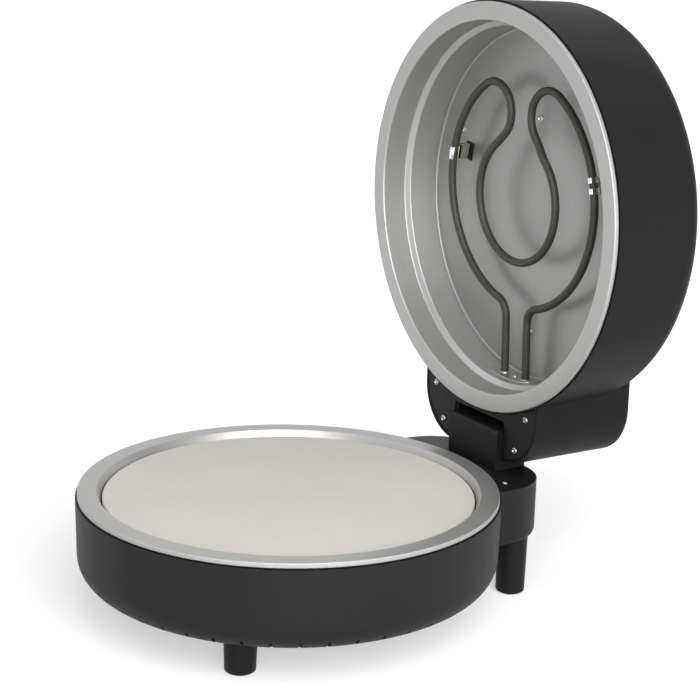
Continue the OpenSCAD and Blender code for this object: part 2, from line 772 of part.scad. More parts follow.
module lid_liner() {
  narrow = open_r - step_w;
  color(silver) swing() difference() {
    rotate_extrude($fn = 180) {
      mirror([0, 1]) ring_section();
      translate([open_r, bend_r]) square([sheet_t, step_z - bend_r]);
      polygon([[open_r, step_z], [open_r + sheet_t, step_z],
               [narrow + sheet_t, step_z + step_h], [narrow, step_z + step_h]]);
      translate([narrow, step_z + step_h])
        square([sheet_t, ceiling_z - ceiling_r + sheet_t - step_z - step_h]);
      bend(narrow + sheet_t - ceiling_r, ceiling_z + sheet_t - ceiling_r, ceiling_r, sheet_t, 0);
      translate([0, ceiling_z]) square([narrow + sheet_t - ceiling_r, sheet_t]);
    }
    for (s = [-1, 1]) translate([s * tail_x, narrow - 10, tail_z]) rotate([-90, 0, 0])
      cylinder(h = 20, d = tube_d + 2 * free);
    translate([0, narrow - 10, tail_z]) rotate([-90, 0, 0]) cylinder(h = 20, d = thread_d + 0.4);
    for (y = [-spacer_front, spacer_back]) translate([0, y, ceiling_z - 1])
      cylinder(h = sheet_t + 2, d = thread_d + 0.4);
    for (s = [-1, 1]) translate([s * clip_x, -clip_v, ceiling_z - 1])
      cylinder(h = sheet_t + 2, d = thread_d + 0.4);
  }
}

module liner_spacers() {
  z = ceiling_z + sheet_t;
  color(steel) swing() for (y = [-spacer_front, spacer_back]) translate([0, y, z]) difference() {
    cylinder(h = lid_depth - wall_t - z, d = spacer_d);
    translate([0, 0, -eps]) cylinder(h = 14, d = thread_d);
  }
}

module liner_screws() {
  color(steel) swing() for (y = [-spacer_front, spacer_back]) translate([0, y, ceiling_z])
    mirror([0, 0, 1]) screw(long_screw);
}

// height of the leaning element's centre line above the lid's rim, at v
function element_z(v) = tail_z - (v + plate_y) * tan(lean);

// the element's leaning plane, with v along the second axis
module leaning() {
  rotate([0, 0, 180]) translate([0, -plate_y, tail_z]) rotate([-lean, 0, 0])
    translate([0, plate_y, 0]) children();
}

// points on an arc round (x, y) at height z, from angle a over the angle b in n steps
function arc_points(x, y, r, a, b, n, z) =
  [for (i = [0 : n]) [x + r * cos(a + b * i / n), y + r * sin(a + b * i / n), z]];

// all the points but the last
function but_last(points) = [for (i = [0 : len(points) - 2]) points[i]];

// half of the upper element's centre line, from the end of its tail to the inner loop's middle
function element_half() = concat(
  [[tail_x, -tail_end, 0]],
  but_last(arc_points(tail_x + shoulder_r, shoulder_v, shoulder_r, 180, -shoulder_touch, 6, 0)),
  but_last(arc_points(0, ring_v, ring_r, -shoulder_touch, shoulder_touch + lobe_touch, 22, 0)),
  arc_points(lobe_x, lobe_v, lobe_r, lobe_touch, 180 + cross_a - lobe_touch, 16, 0),
  but_last(arc_points(0, loop_v, loop_r, cross_a, -90 - cross_a, 18, -loop_drop)));

// a bent tube of diameter d along points that lie near the XY plane
module swept_tube(points, d, sides) {
  last = len(points) - 1;
  skin = [for (i = [0 : last])
    let (t = points[min(i + 1, last)] - points[max(i - 1, 0)],
         s = cross(t, [0, 0, 1]) / norm(cross(t, [0, 0, 1])),
         w = cross(s, t) / norm(t))
    for (k = [0 : sides - 1])
      points[i] + d / 2 * (cos(360 * k / sides) * s + sin(360 * k / sides) * w)];
  walls = [for (i = [0 : last - 1], k = [0 : sides - 1])
    let (a = i * sides + k, b = i * sides + (k + 1) % sides)
    each [[a, b, b + sides], [a, b + sides, a + sides]]];
  ends = [for (k = [1 : sides - 2]) each [[0, k + 1, k],
    [last * sides, last * sides + k, last * sides + k + 1]]];
  polyhedron(skin, concat(walls, ends), convexity = 10);
}

module upper_element() {
  half = element_half();
  n = len(half);
  other = [for (i = [n - 1 : -1 : 0]) [-half[i][0], half[i][1], half[i][2]]];
  color("#55534e") swing() leaning()
    swept_tube(concat(half, [[0, loop_v - loop_r, -loop_drop]], other), tube_d, 16);
}

module element_plate() {
  color(silver) swing() translate([0, plate_y, tail_z]) rotate([90, 0, 0]) difference() {
    round_slab(2 * plate_half, plate_h, element_plate_t, plate_h / 2 - 1);
    for (s = [-1, 1]) translate([s * tail_x, 0, -1])
      cylinder(h = element_plate_t + 2, d = tube_d + 2 * free);
    translate([0, 0, -1]) cylinder(h = element_plate_t + 2, d = thread_d + 0.4);
  }
}

module element_plate_screw() {
  color(silver) swing() translate([0, plate_y - element_plate_t, tail_z]) rotate([90, 0, 0]) screw(short_screw);
}

// two bands round the tube on a bracket; the left one stands on the sensor's block
module upper_element_clips() {
  band = 4;
  length = 13;
  color(silver) swing() for (s = [0, 1]) mirror([s, 0, 0]) difference() {
    foot_z = s == 0 ? ceiling_z - sensor_h : ceiling_z;
    union() {
      leaning() translate([0, ring_v, 0]) rotate([0, 0, clip_a]) translate([ring_r, 0, 0])
        for (y = [-length / 2, length / 2 - band]) translate([0, y, 0]) rotate([-90, 0, 0])
          cylinder(h = band, d = tube_d + 2 * free + 2.4);
      translate([-clip_x, -clip_v, 0]) rotate([0, 0, clip_a]) {
        translate([-2, -length / 2, element_z(clip_v)]) cube([4, length, foot_z - element_z(clip_v)]);
        translate([-6, -length / 2, foot_z - 1.2]) cube([12, length, 1.2]);
      }
    }
    leaning() translate([0, ring_v, 0]) rotate([0, 0, clip_a - 8]) rotate_extrude(angle = 16)
      translate([ring_r, 0]) circle(d = tube_d + 2 * free);
  }
}

module sensor_block() {
  size = [13, 15, sensor_h];
  color("#b5a884") swing() translate([-clip_x, -clip_v, ceiling_z - sensor_h]) rotate([0, 0, clip_a])
    translate([-size[0] / 2, -size[1] / 2, 0]) difference() {
      cube(size);
      for (y = [3, 10]) translate([size[0] / 2, y + 1, -1]) cylinder(h = 4, d = 2.6);
    }
}

module upper_terminals() {
  color("#d8d2c4") swing() leaning() for (s = [-1, 1]) translate([s * tail_x, -tail_end, 0])
    terminal();
}

module lid_leads() {
  y = tail_end + tab_l;
  z = element_z(-y);
  up = control_z - 14;
  face = control_y + thermostat_size[1] / 2;
  color("#b7a98a") swing() for (s = [-1, 1])
    lead([[s * tail_x, y, z], [s * tail_x, y + 3, z], [s * tail_x, y + 3, up],
          [knob_x + s * 6, face + 5, up], [knob_x + s * 6, face, up]], lead_d);
}

module hinge_plate() {
  color(black) swing() difference() {
    intersection() {
      housing_block(wall_t + plate_gap, plate_z, plate_z + plate_t + 2, 0.5);
      translate([-housing_w, 0, 0]) cube([2 * housing_w, 2 * housing_back, plate_z + plate_t]);
    }
    cylinder(h = housing_h, r = casing_r + plate_gap, $fn = 180);
    translate([-notch_x, hinge_y - post_front - notch_reach, 0]) cube([2 * notch_x, housing_back, 30]);
    for (p = plate_screws) translate([p[0], p[1], 0]) cylinder(h = 30, d = thread_d + 0.4);
  }
}

module hinge_plate_screws() {
  color("#d9dadb") swing() for (p = plate_screws) translate([p[0], p[1], plate_z])
    mirror([0, 0, 1]) screw(plate_screw);
}

// a bracket behind the hinge plate, with an ear round the pin; s picks the side
module hinge_bracket(s) {
  ear_r = axis_h - flange_z;
  inner = housing_w / 2 - wall_t - plate_gap;
  color(steel) swing() mirror([s, 0, 0]) difference() {
    union() {
      intersection() {
        translate([ear_x, screw_y1 - 6, flange_z]) cube([inner - ear_x - 2, 45, flange_t]);
        housing_block(wall_t + plate_gap + 1, flange_z - 1, flange_z + 20, 0.5);
        difference() {
          cylinder(h = housing_h, r = housing_back * 2);
          translate([0, 0, -1]) cylinder(h = housing_h + 2, r = casing_r + plate_gap, $fn = 180);
        }
      }
      translate([ear_x, hinge_y, axis_h]) rotate([0, 90, 0]) cylinder(h = ear_t, r = ear_r);
      translate([ear_x, hinge_y - ear_r, flange_z]) cube([ear_t, 2 * ear_r, ear_r]);
    }
    translate([ear_x - 1, hinge_y, axis_h]) rotate([0, 90, 0])
      cylinder(h = ear_t + 2, d = pin_d + 2 * bush_wall + 2 * pin_fit);
    for (p = plate_screws) translate([abs(p[0]), p[1], 0]) cylinder(h = 30, d = thread_d + 0.4);
  }
}

module hinge_bushes() {
  color("#c8a862") swing() for (s = [0, 1]) mirror([s, 0, 0])
    translate([ear_x - bush_flange, hinge_y, axis_h]) rotate([0, 90, 0]) difference() {
      union() {
        cylinder(h = bush_flange, d = pin_d + 2 * bush_wall + 3);
        cylinder(h = bush_flange + ear_t, d = pin_d + 2 * bush_wall);
      }
      translate([0, 0, -1]) cylinder(h = ear_t + bush_flange + 2, d = pin_d + 2 * pin_fit);
    }
}

module thermostat() {
  size = thermostat_size;
  color("#3a3d40") swing() translate([knob_x, control_y, 0]) {
    translate([-size[0] / 2, -size[1] / 2, control_z - 2 - size[2]]) cube(size);
    translate([0, 0, control_z - 2 - eps]) cylinder(h = 2, d = 11);
    translate([0, 0, control_z - 4]) cylinder(h = housing_h - control_z + 5 + knob_h * 0.6, d = 6);
  }
}

// a lamp with a domed lens, at x
module lamp(x, tint) {
  swing() translate([x, control_y, 0]) color(tint) {
    translate([0, 0, control_z - 12]) cylinder(h = 12 + wall_t, d = lens_d - 1 - 2 * seat);
    translate([0, 0, housing_h]) cylinder(h = 1, d = lens_d + 2);
    translate([0, 0, housing_h + 1]) intersection() {
      translate([0, 0, -lens_d / 4]) sphere(r = lens_d / 1.8);
      cylinder(h = lens_d, d = lens_d);
    }
  }
}

module lid_handle() {
  color(black) swing() translate([0, -handle_v, lid_depth]) difference() {
    union() {
      translate([0, 0, -arch_sink]) rotate([90, 0, 0]) translate([0, 0, 0]) rotate_extrude($fn = 180)
        translate([arch_r - strap_t, -strap_w / 2]) round_rect(strap_t, strap_w, 3.5);
      for (s = [-1, 1]) translate([s * handle_x, 0, 0])
        round_slab(handle_pad * 0.7, handle_pad, 4, 6);
    }
    translate([-arch_r * 2, -strap_w * 2, -arch_r * 2]) cube([arch_r * 4, strap_w * 4, arch_r * 2]);
    for (s = [-1, 1]) translate([s * handle_x, 0, -1]) cylinder(h = 11, d = thread_d);
  }
}

// a rectangle w by h from the origin with round corners
module round_rect(w, h, r) {
  translate([r, 0]) square([w - 2 * r, h]);
  translate([0, r]) square([w, h - 2 * r]);
  for (x = [r, w - r], y = [r, h - r]) translate([x, y]) circle(r);
}

module handle_screws() {
  color(steel) swing() for (s = [-1, 1])
    translate([s * handle_x, -handle_v, lid_depth - wall_t]) mirror([0, 0, 1]) screw(short_screw);
}

module thermostat_knob() {
  flutes = 18;
  color(black) swing() translate([knob_x, control_y, housing_h + 1]) difference() {
    rotate_extrude() {
      square([knob_d / 2 - 1.5, knob_h]);
      square([knob_d / 2, knob_h - 1.5]);
      translate([knob_d / 2 - 1.5, knob_h - 1.5]) circle(1.5);
      square([knob_d / 2 + 2, 2.4]);
    }
    for (i = [0 : flutes - 1]) rotate([0, 0, (i + 0.5) * 360 / flutes])
      translate([knob_d / 2 + 1.2, 0, 2.4]) cylinder(h = knob_h, r = 2, $fn = 24);
    translate([-0.6, -knob_d / 2 + 1.5, knob_h - 0.6]) cube([1.2, knob_d / 2 - 4, 2]);
    translate([0, 0, -1]) cylinder(h = knob_h * 0.6 + 1, d = 6 + 2 * pin_fit);
  }
}

base_casing();
base_pan();
pan_spacers();
pan_screws();
pizza_stone();
lower_element();
lower_element_clips();
lower_terminals();
thermal_cutout();
rear_block();
rear_block_top();
block_screws();
hinge_post();
hinge_post_screws();
hinge_pin();
pin_clips();
cable_gland();
terminal_block();
base_leads();
leg_at(0);  // front_left_leg
leg_at(1);  // front_right_leg
leg_at(2);  // rear_left_leg
leg_at(3);  // rear_right_leg
leg_screws();
foot_pads();
lid_casing();
lid_liner();
liner_spacers();
liner_screws();
upper_element();
element_plate();
element_plate_screw();
upper_element_clips();
sensor_block();
upper_terminals();
lid_leads();
hinge_plate();
hinge_plate_screws();
hinge_bracket(1);  // left_hinge_bracket
hinge_bracket(0);  // right_hinge_bracket
hinge_bushes();
thermostat();
lamp(lamp_x[0], "#3fae4a");  // power_lamp
lamp(lamp_x[1], "#c8352b");  // heating_lamp
lid_handle();
handle_screws();
thermostat_knob();
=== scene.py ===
import json
import math

import bmesh
import bpy
from mathutils import Matrix, Vector

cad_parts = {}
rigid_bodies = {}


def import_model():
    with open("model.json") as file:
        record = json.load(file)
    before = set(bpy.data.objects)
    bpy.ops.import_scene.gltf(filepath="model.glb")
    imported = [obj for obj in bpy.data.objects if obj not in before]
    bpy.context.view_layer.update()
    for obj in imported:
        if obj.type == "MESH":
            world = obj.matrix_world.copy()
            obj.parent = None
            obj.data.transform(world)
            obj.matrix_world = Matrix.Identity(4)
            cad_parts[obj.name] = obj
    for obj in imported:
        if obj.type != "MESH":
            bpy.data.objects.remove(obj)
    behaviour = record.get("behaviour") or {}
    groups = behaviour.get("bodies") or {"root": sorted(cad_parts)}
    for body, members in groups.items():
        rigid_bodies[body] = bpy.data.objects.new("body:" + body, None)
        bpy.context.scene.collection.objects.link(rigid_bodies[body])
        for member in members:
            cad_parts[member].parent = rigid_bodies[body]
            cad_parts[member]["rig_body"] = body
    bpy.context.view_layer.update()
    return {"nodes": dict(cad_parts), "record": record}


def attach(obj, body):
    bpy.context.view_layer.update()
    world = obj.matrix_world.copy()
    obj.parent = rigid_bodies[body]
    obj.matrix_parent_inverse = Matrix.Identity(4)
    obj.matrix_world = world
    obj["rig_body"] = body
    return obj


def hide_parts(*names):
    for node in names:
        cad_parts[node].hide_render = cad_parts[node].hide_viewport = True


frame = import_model()
slotOf = {part["node"]: part["material_slot"] for part in frame["record"]["subparts"]}
bodyOf = {name: piece["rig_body"] for name, piece in frame["nodes"].items()}

mm = 0.001
fullTurn = 2 * math.pi
onAxis = 1e-6            # a profile point nearer to the axis than this lies on it
roundSteps = 288         # faces round the pan, the stone and the liner

# the lid's pieces are made with its rim at z = 0, and lidFrame stands them up as the open lid
lid = {"rim": 0.1824, "middle": 0.321}    # how far back the open rim is, and how high its centre
lidFrame = Matrix(((1, 0, 0, 0), (0, 0, 1, lid["rim"]), (0, -1, 0, lid["middle"]), (0, 0, 0, 1)))
print("stage: frame loaded,", len(frame["nodes"]), "parts")

view = {
    "place": (1.20028, -0.68581, 0.58247),
    "target": (-0.05484, 0.08878, 0.19692),
    "roll": 1.49,        # degrees
    "lens": 91.59,
    "sensor": 36,
    "clip": (0.05, 60),
}


def makeCamera():
    data = bpy.data.cameras.new("camera")
    data.lens = view["lens"]
    data.sensor_width = view["sensor"]
    data.clip_start, data.clip_end = view["clip"]
    camera = bpy.data.objects.new("camera", data)
    bpy.context.scene.collection.objects.link(camera)
    back = (Vector(view["place"]) - Vector(view["target"])).normalized()
    right = Vector((-back.y, back.x, 0)).normalized()
    up = back.cross(right)
    turn = math.radians(view["roll"])
    side = right * math.cos(turn) + up * math.sin(turn)
    top = up * math.cos(turn) - right * math.sin(turn)
    camera.matrix_world = Matrix((side, top, back)).transposed().to_4x4()
    camera.location = view["place"]
    bpy.context.scene.camera = camera


makeCamera()
print("stage: camera set")


def startFinish(name, **sockets):
    material = bpy.data.materials.new(name)
    material.use_nodes = True
    shader = material.node_tree.nodes["Principled BSDF"]
    for socket, value in sockets.items():
        shader.inputs[socket.replace("_", " ")].default_value = value
    return material, material.node_tree, shader


def endFinish(tree, shader, base, roughness, relief):
    for socket, source in (("Base Color", base), ("Roughness", roughness), ("Normal", relief)):
        tree.links.new(source, shader.inputs[socket])


def add(tree, kind, inputs=None, **settings):
    made = tree.nodes.new("ShaderNode" + kind)
    for name, value in settings.items():
        setattr(made, name, value)
    for name, value in (inputs or {}).items():
        if isinstance(value, bpy.types.NodeSocket):
            tree.links.new(value, made.inputs[name])
        else:
            made.inputs[name].default_value = value
    return made


def calc(tree, operation, first, second):
    return add(tree, "Math", {0: first, 1: second}, operation=operation).outputs[0]


def noise(tree, coords, scale, detail, roughness=0.5):
    return add(tree, "TexNoise", {"Vector": coords, "Scale": scale, "Detail": detail,
                                  "Roughness": roughness}).outputs[0]


# colours by a grey source; each stop is (place, tone)
def ramp(tree, source, *stops):
    made = add(tree, "ValToRGB", {"Fac": source})
    line = made.color_ramp
    while len(line.elements) < len(stops):
        line.elements.new(0.5)
    for mark, (place, tone) in zip(line.elements, stops):
        mark.position = place
        mark.color = (*tone, 1) if isinstance(tone, tuple) else (tone, tone, tone, 1)
    return made.outputs[0]


def mixTones(tree, factor, first, second, blend="MIX"):
    made = add(tree, "Mix", {0: factor, 6: first, 7: second}, data_type="RGBA", blend_type=blend)
    return made.outputs[2]


def veiled(tree, base, veil):
    return mixTones(tree, 1.0, base, veil, "MULTIPLY")


def shade(tone, factor):
    return tuple(min(c * factor, 1) for c in tone)


# a 0 to 1 source spread between two values
def spread(tree, source, low, high):
    return add(tree, "MapRange", {"Value": source, "To Min": low, "To Max": high}).outputs[0]


def bump(tree, height, distance, strength=1.0, below=None):
    inputs = {"Height": height, "Distance": distance, "Strength": strength}
    if below is not None:
        inputs["Normal"] = below
    return add(tree, "Bump", inputs).outputs[0]


def objectCoords(tree):
    return add(tree, "TexCoord").outputs["Object"]


# coordinates that run round the piece's own Z axis: radius, a little of the angle, height
def spunCoords(tree, along):
    x, y, z = add(tree, "SeparateXYZ", {0: objectCoords(tree)}).outputs
    flat = add(tree, "CombineXYZ", {0: x, 1: y}).outputs[0]
    radius = add(tree, "VectorMath", {0: flat}, operation="LENGTH").outputs[1]
    slow = calc(tree, "MULTIPLY", calc(tree, "ARCTAN2", y, x), along)
    return add(tree, "CombineXYZ", {0: radius, 1: slow, 2: z}).outputs[0]


# grain is the height of the moulded texture and grainSize its width, both in metres
def plasticFinish(name, tone, roughness, grain=0.00004, grainSize=0.0011, sheen=0.15):
    material, tree, shader = startFinish(name, Specular_IOR_Level=sheen)
    coords = objectCoords(tree)
    cloud = noise(tree, coords, scale=9, detail=3)
    fine = noise(tree, coords, scale=1 / grainSize, detail=2, roughness=0.6)
    smudge = noise(tree, coords, scale=26, detail=4, roughness=0.6)
    base = ramp(tree, fine, (0.3, shade(tone, 0.88)), (0.7, shade(tone, 1.12)))
    base = veiled(tree, base, ramp(tree, cloud, (0.35, 0.93), (0.65, 1.0)))
    gloss = spread(tree, smudge, roughness - 0.06, roughness + 0.08)
    endFinish(tree, shader, base, gloss, bump(tree, fine, grain))
    return material


# the last argument gives the height where the metal starts to darken, where it is darkest, and how
# much is left; this darkening is painted shade, standing in for the shade of the lid's hollow
# ceiling
def silverFinish(name, tone, roughness, metallic, paintedShade=None):
    material, tree, shader = startFinish(name, Metallic=metallic)
    coords = objectCoords(tree)
    flake = noise(tree, coords, scale=1600, detail=1, roughness=0.6)
    streak = noise(tree, spunCoords(tree, along=0.004), scale=900, detail=3, roughness=0.65)
    wipe = noise(tree, coords, scale=14, detail=3, roughness=0.55)
    base = ramp(tree, flake, (0.3, shade(tone, 0.93)), (0.7, shade(tone, 1.07)))
    base = veiled(tree, base, ramp(tree, streak, (0.3, 0.95), (0.7, 1.0)))
    # painted shade: the tone gets darker towards the ceiling of the hollow, where shade falls
    if paintedShade:
        start, end, left = paintedShade
        height = add(tree, "SeparateXYZ", {0: coords}).outputs[2]
        dim = add(tree, "MapRange", {"Value": height, "From Min": start * mm, "From Max": end * mm,
                                     "To Min": 1.0, "To Max": left}).outputs[0]
        base = veiled(tree, base, dim)
    gloss = spread(tree, wipe, roughness - 0.04, roughness + 0.05)
    relief = bump(tree, streak, 0.00001, below=bump(tree, flake, 0.00002))
    endFinish(tree, shader, base, gloss, relief)
    return material


def stoneFinish(name, tone):
    material, tree, shader = startFinish(name, Specular_IOR_Level=0.25)
    coords = objectCoords(tree)
    sand = noise(tree, coords, scale=1100, detail=4, roughness=0.7)
    cloud = noise(tree, coords, scale=14, detail=5, roughness=0.6)
    base = ramp(tree, sand, (0.25, shade(tone, 0.93)), (0.75, shade(tone, 1.05)))
    base = veiled(tree, base, ramp(tree, cloud, (0.3, (0.965, 0.955, 0.94)), (0.7, (1, 1, 1))))
    # brown specks in about a third of the cells
    cells = add(tree, "TexVoronoi", {"Vector": coords, "Scale": 230})
    near = ramp(tree, cells.outputs["Distance"], (0.05, 1.0), (0.16, 0.0))
    chosen = ramp(tree, cells.outputs["Color"], (0.60, 0.0), (0.66, 1.0))
    speck = calc(tree, "MULTIPLY", calc(tree, "MULTIPLY", near, chosen), 0.5)
    brown = (tone[0] * 0.55, tone[1] * 0.49, tone[2] * 0.42, 1)
    base = mixTones(tree, speck, base, brown)
    pits = add(tree, "TexVoronoi", {"Vector": coords, "Scale": 420})
    hole = ramp(tree, pits.outputs["Distance"], (0.0, 0.0), (0.22, 1.0))
    relief = bump(tree, sand, 0.00006, 0.7, below=bump(tree, hole, 0.00012, 0.6))
    endFinish(tree, shader, base, spread(tree, sand, 0.78, 0.95), relief)
    return material


def sheathFinish(name, tone):
    material, tree, shader = startFinish(name, Metallic=0.35)
    coords = objectCoords(tree)
    scale = noise(tree, coords, scale=320, detail=4, roughness=0.65)
    cloud = noise(tree, coords, scale=45, detail=4, roughness=0.6)
    base = ramp(tree, scale, (0.28, shade(tone, 0.72)), (0.72, shade(tone, 1.25)))
    tint = ramp(tree, cloud, (0.35, (0.82, 0.80, 0.76)), (0.65, (1.05, 1.03, 0.98)))
    endFinish(tree, shader, veiled(tree, base, tint), spread(tree, scale, 0.42, 0.62),
              bump(tree, scale, 0.00007))
    return material


def metalFinish(name, tone, roughness):
    material, tree, shader = startFinish(name, Metallic=1.0)
    coords = objectCoords(tree)
    grain = noise(tree, coords, scale=700, detail=3, roughness=0.6)
    cloud = noise(tree, coords, scale=60, detail=3, roughness=0.6)
    base = ramp(tree, cloud, (0.3, shade(tone, 0.86)), (0.7, shade(tone, 1.06)))
    base = veiled(tree, base, ramp(tree, grain, (0.3, 0.92), (0.7, 1.0)))
    gloss = spread(tree, grain, roughness - 0.05, roughness + 0.1)
    endFinish(tree, shader, base, gloss, bump(tree, grain, 0.00002))
    return material


def ceramicFinish(name, tone):
    material, tree, shader = startFinish(name, Specular_IOR_Level=0.4)
    coords = objectCoords(tree)
    grain = noise(tree, coords, scale=500, detail=4, roughness=0.65)
    cloud = noise(tree, coords, scale=90, detail=3)
    base = ramp(tree, grain, (0.3, shade(tone, 0.88)), (0.7, tone))
    base = veiled(tree, base, ramp(tree, cloud, (0.3, (0.93, 0.91, 0.88)), (0.7, (1, 1, 1))))
    endFinish(tree, shader, base, spread(tree, grain, 0.50, 0.70), bump(tree, grain, 0.00005))
    return material


def braidFinish(name, tone):
    material, tree, shader = startFinish(name, Sheen_Weight=0.3)
    coords = objectCoords(tree)
    weave = add(tree, "TexWave", {"Vector": coords, "Scale": 420, "Distortion": 1.2, "Detail": 1},
                wave_type="BANDS", bands_direction="DIAGONAL").outputs["Fac"]
    fuzz = noise(tree, coords, scale=900, detail=3, roughness=0.7)
    base = ramp(tree, weave, (0.2, shade(tone, 0.7)), (0.8, tone))
    base = veiled(tree, base, ramp(tree, fuzz, (0.3, 0.85), (0.7, 1.0)))
    endFinish(tree, shader, base, spread(tree, fuzz, 0.7, 0.95), bump(tree, weave, 0.0002))
    return material


def lensFinish(name, tone):
    material, tree, shader = startFinish(name, Transmission_Weight=0.25, IOR=1.49)
    coords = objectCoords(tree)
    ribs = add(tree, "TexWave", {"Vector": coords, "Scale": 260, "Detail": 0},
               wave_type="RINGS", rings_direction="Z").outputs["Fac"]
    cloud = noise(tree, coords, scale=200, detail=2)
    base = ramp(tree, cloud, (0.3, shade(tone, 0.75)), (0.7, tone))
    endFinish(tree, shader, base, spread(tree, cloud, 0.12, 0.2), bump(tree, ribs, 0.0001))
    return material


tones = {
    "charcoal": (0.0118, 0.0118, 0.0126),
    "lidCharcoal": (0.0078, 0.0078, 0.0084),
    "black": (0.0056, 0.0056, 0.0060),
    "silver": (0.395, 0.394, 0.389),
    "linerSilver": (0.385, 0.385, 0.381),
    "stone": (0.643, 0.623, 0.562),
    "sheath": (0.044, 0.043, 0.0395),
    "zinc": (0.50, 0.50, 0.49),
    "screw": (0.42, 0.42, 0.415),
    "bright": (0.72, 0.72, 0.71),
    "bronze": (0.55, 0.36, 0.16),
    "ivory": (0.68, 0.64, 0.55),
    "olive": (0.185, 0.178, 0.125),
    "phenolic": (0.04, 0.034, 0.03),
    "braid": (0.5, 0.43, 0.3),
    "rubber": (0.012, 0.012, 0.012),
    "green": (0.05, 0.42, 0.09),
    "red": (0.55, 0.03, 0.02),
}

# the number after each tone is the roughness
finishes = {
    "charcoal_plastic": plasticFinish("charcoalPlastic", tones["charcoal"], 0.52),
    "lid_plastic": plasticFinish("lidPlastic", tones["lidCharcoal"], 0.5, sheen=0.10),
    "satin_aluminium": silverFinish("satinSilver", tones["silver"], 0.37, metallic=0.66),
    "skirt_aluminium": silverFinish("skirtSilver", tones["silver"], 0.60, metallic=0.60),
    # the liner's ceiling gets painted shade from 51 mm up, down to 0.8 of its tone
    "liner_aluminium": silverFinish("linerSilver", tones["linerSilver"], 0.38, metallic=0.62,
                                    paintedShade=(51, 55, 0.80)),
    "ceramic_stone": stoneFinish("bakedStone", tones["stone"]),
    "oxidised_sheath": sheathFinish("oxidisedSheath", tones["sheath"]),
    "black_plastic": plasticFinish("blackPlastic", tones["black"], 0.46),
    "block_top_plastic": plasticFinish("blockTopPlastic", tones["black"], 0.42, sheen=0.2),
    "black_steel": plasticFinish("blackSteel", tones["lidCharcoal"], 0.44, grain=0.00002,
                                 grainSize=0.0007),
    "zinc_steel": metalFinish("zincSteel", tones["zinc"], 0.32),
    "bright_screw": metalFinish("brightScrew", tones["screw"], 0.30),
    "bright_band": metalFinish("brightBand", tones["bright"], 0.16),
    "polished_pin": metalFinish("polishedPin", tones["bright"], 0.15),
    "bronze": metalFinish("bronzeBush", tones["bronze"], 0.35),
    "ivory_ceramic": ceramicFinish("ivoryCeramic", tones["ivory"]),
    "beige_ceramic": ceramicFinish("oliveCeramic", tones["olive"]),
    "dark_phenolic": plasticFinish("darkPhenolic", tones["phenolic"], 0.4),
    "glass_braid": braidFinish("glassBraid", tones["braid"]),
    "rubber_pad": plasticFinish("rubberPad", tones["rubber"], 0.75, grain=0.0001,
                                grainSize=0.0008),
    "green_lens": lensFinish("greenLens", tones["green"]),
    "red_lens": lensFinish("redLens", tones["red"]),
}
print("stage: finishes made")


# stands names the CAD nodes that the piece takes the place of; crease is in degrees
def newPiece(name, bm, finish, body, stands=(), place=None, crease=35):
    mesh = bpy.data.meshes.new(name)
    bmesh.ops.recalc_face_normals(bm, faces=bm.faces)
    bm.to_mesh(mesh)
    bm.free()
    mesh.shade_smooth()
    mesh.set_sharp_from_angle(angle=math.radians(crease))
    piece = bpy.data.objects.new(name, mesh)
    bpy.context.scene.collection.objects.link(piece)
    mesh.materials.append(finishes[finish])
    if place is not None:
        piece.matrix_world = place
    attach(piece, body)
    if stands:
        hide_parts(*stands)
    return piece


def breakEdges(piece, width, angle):
    edge = piece.modifiers.new("brokenEdges", "BEVEL")
    edge.width = width * mm
    edge.segments = 2
    edge.limit_method = "ANGLE"
    edge.angle_limit = math.radians(angle)


# a closed outline of (x, y, corner radius) turned into points, one for each step of degrees
def roundedOutline(corners, step=10):
    points = []
    count = len(corners)
    for i, (x, y, radius) in enumerate(corners):
        here = Vector((x, y))
        if radius <= 0:
            points.append(here)
            continue
        a = (Vector(corners[i - 1][:2]) - here).normalized()
        b = (Vector(corners[(i + 1) % count][:2]) - here).normalized()
        half = a.angle(b) / 2
        centre = here + (a + b).normalized() * (radius / math.sin(half))
        start = here + a * (radius / math.tan(half)) - centre
        end = here + b * (radius / math.tan(half)) - centre
        turn = start.angle_signed(end) * -1
        steps = max(1, math.ceil(abs(turn) / math.radians(step)))
        for k in range(steps + 1):
            t = turn * k / steps
            points.append(centre + Vector((start.x * math.cos(t) - start.y * math.sin(t),
                                           start.x * math.sin(t) + start.y * math.cos(t))))
    return points


# turns a closed profile of (radius, height) in millimetres round the Z axis
def lathe(profile, segments=roundSteps):
    bm = bmesh.new()
    rings = []
    for radius, height in profile:
        if radius < onAxis:
            rings.append([bm.verts.new((0, 0, height * mm))])
            continue
        rings.append([bm.verts.new((radius * mm * math.cos(fullTurn * k / segments),
                                    radius * mm * math.sin(fullTurn * k / segments),
                                    height * mm)) for k in range(segments)])
    for a, b in zip(rings, rings[1:] + rings[:1]):
        if len(a) == 1 and len(b) == 1:
            continue
        for k in range(segments):
            n = (k + 1) % segments
            if len(a) == 1:
                bm.faces.new((a[0], b[k], b[n]))
            elif len(b) == 1:
                bm.faces.new((a[k], b[0], a[n]))
            else:
                bm.faces.new((a[k], b[k], b[n], a[n]))
    return bm


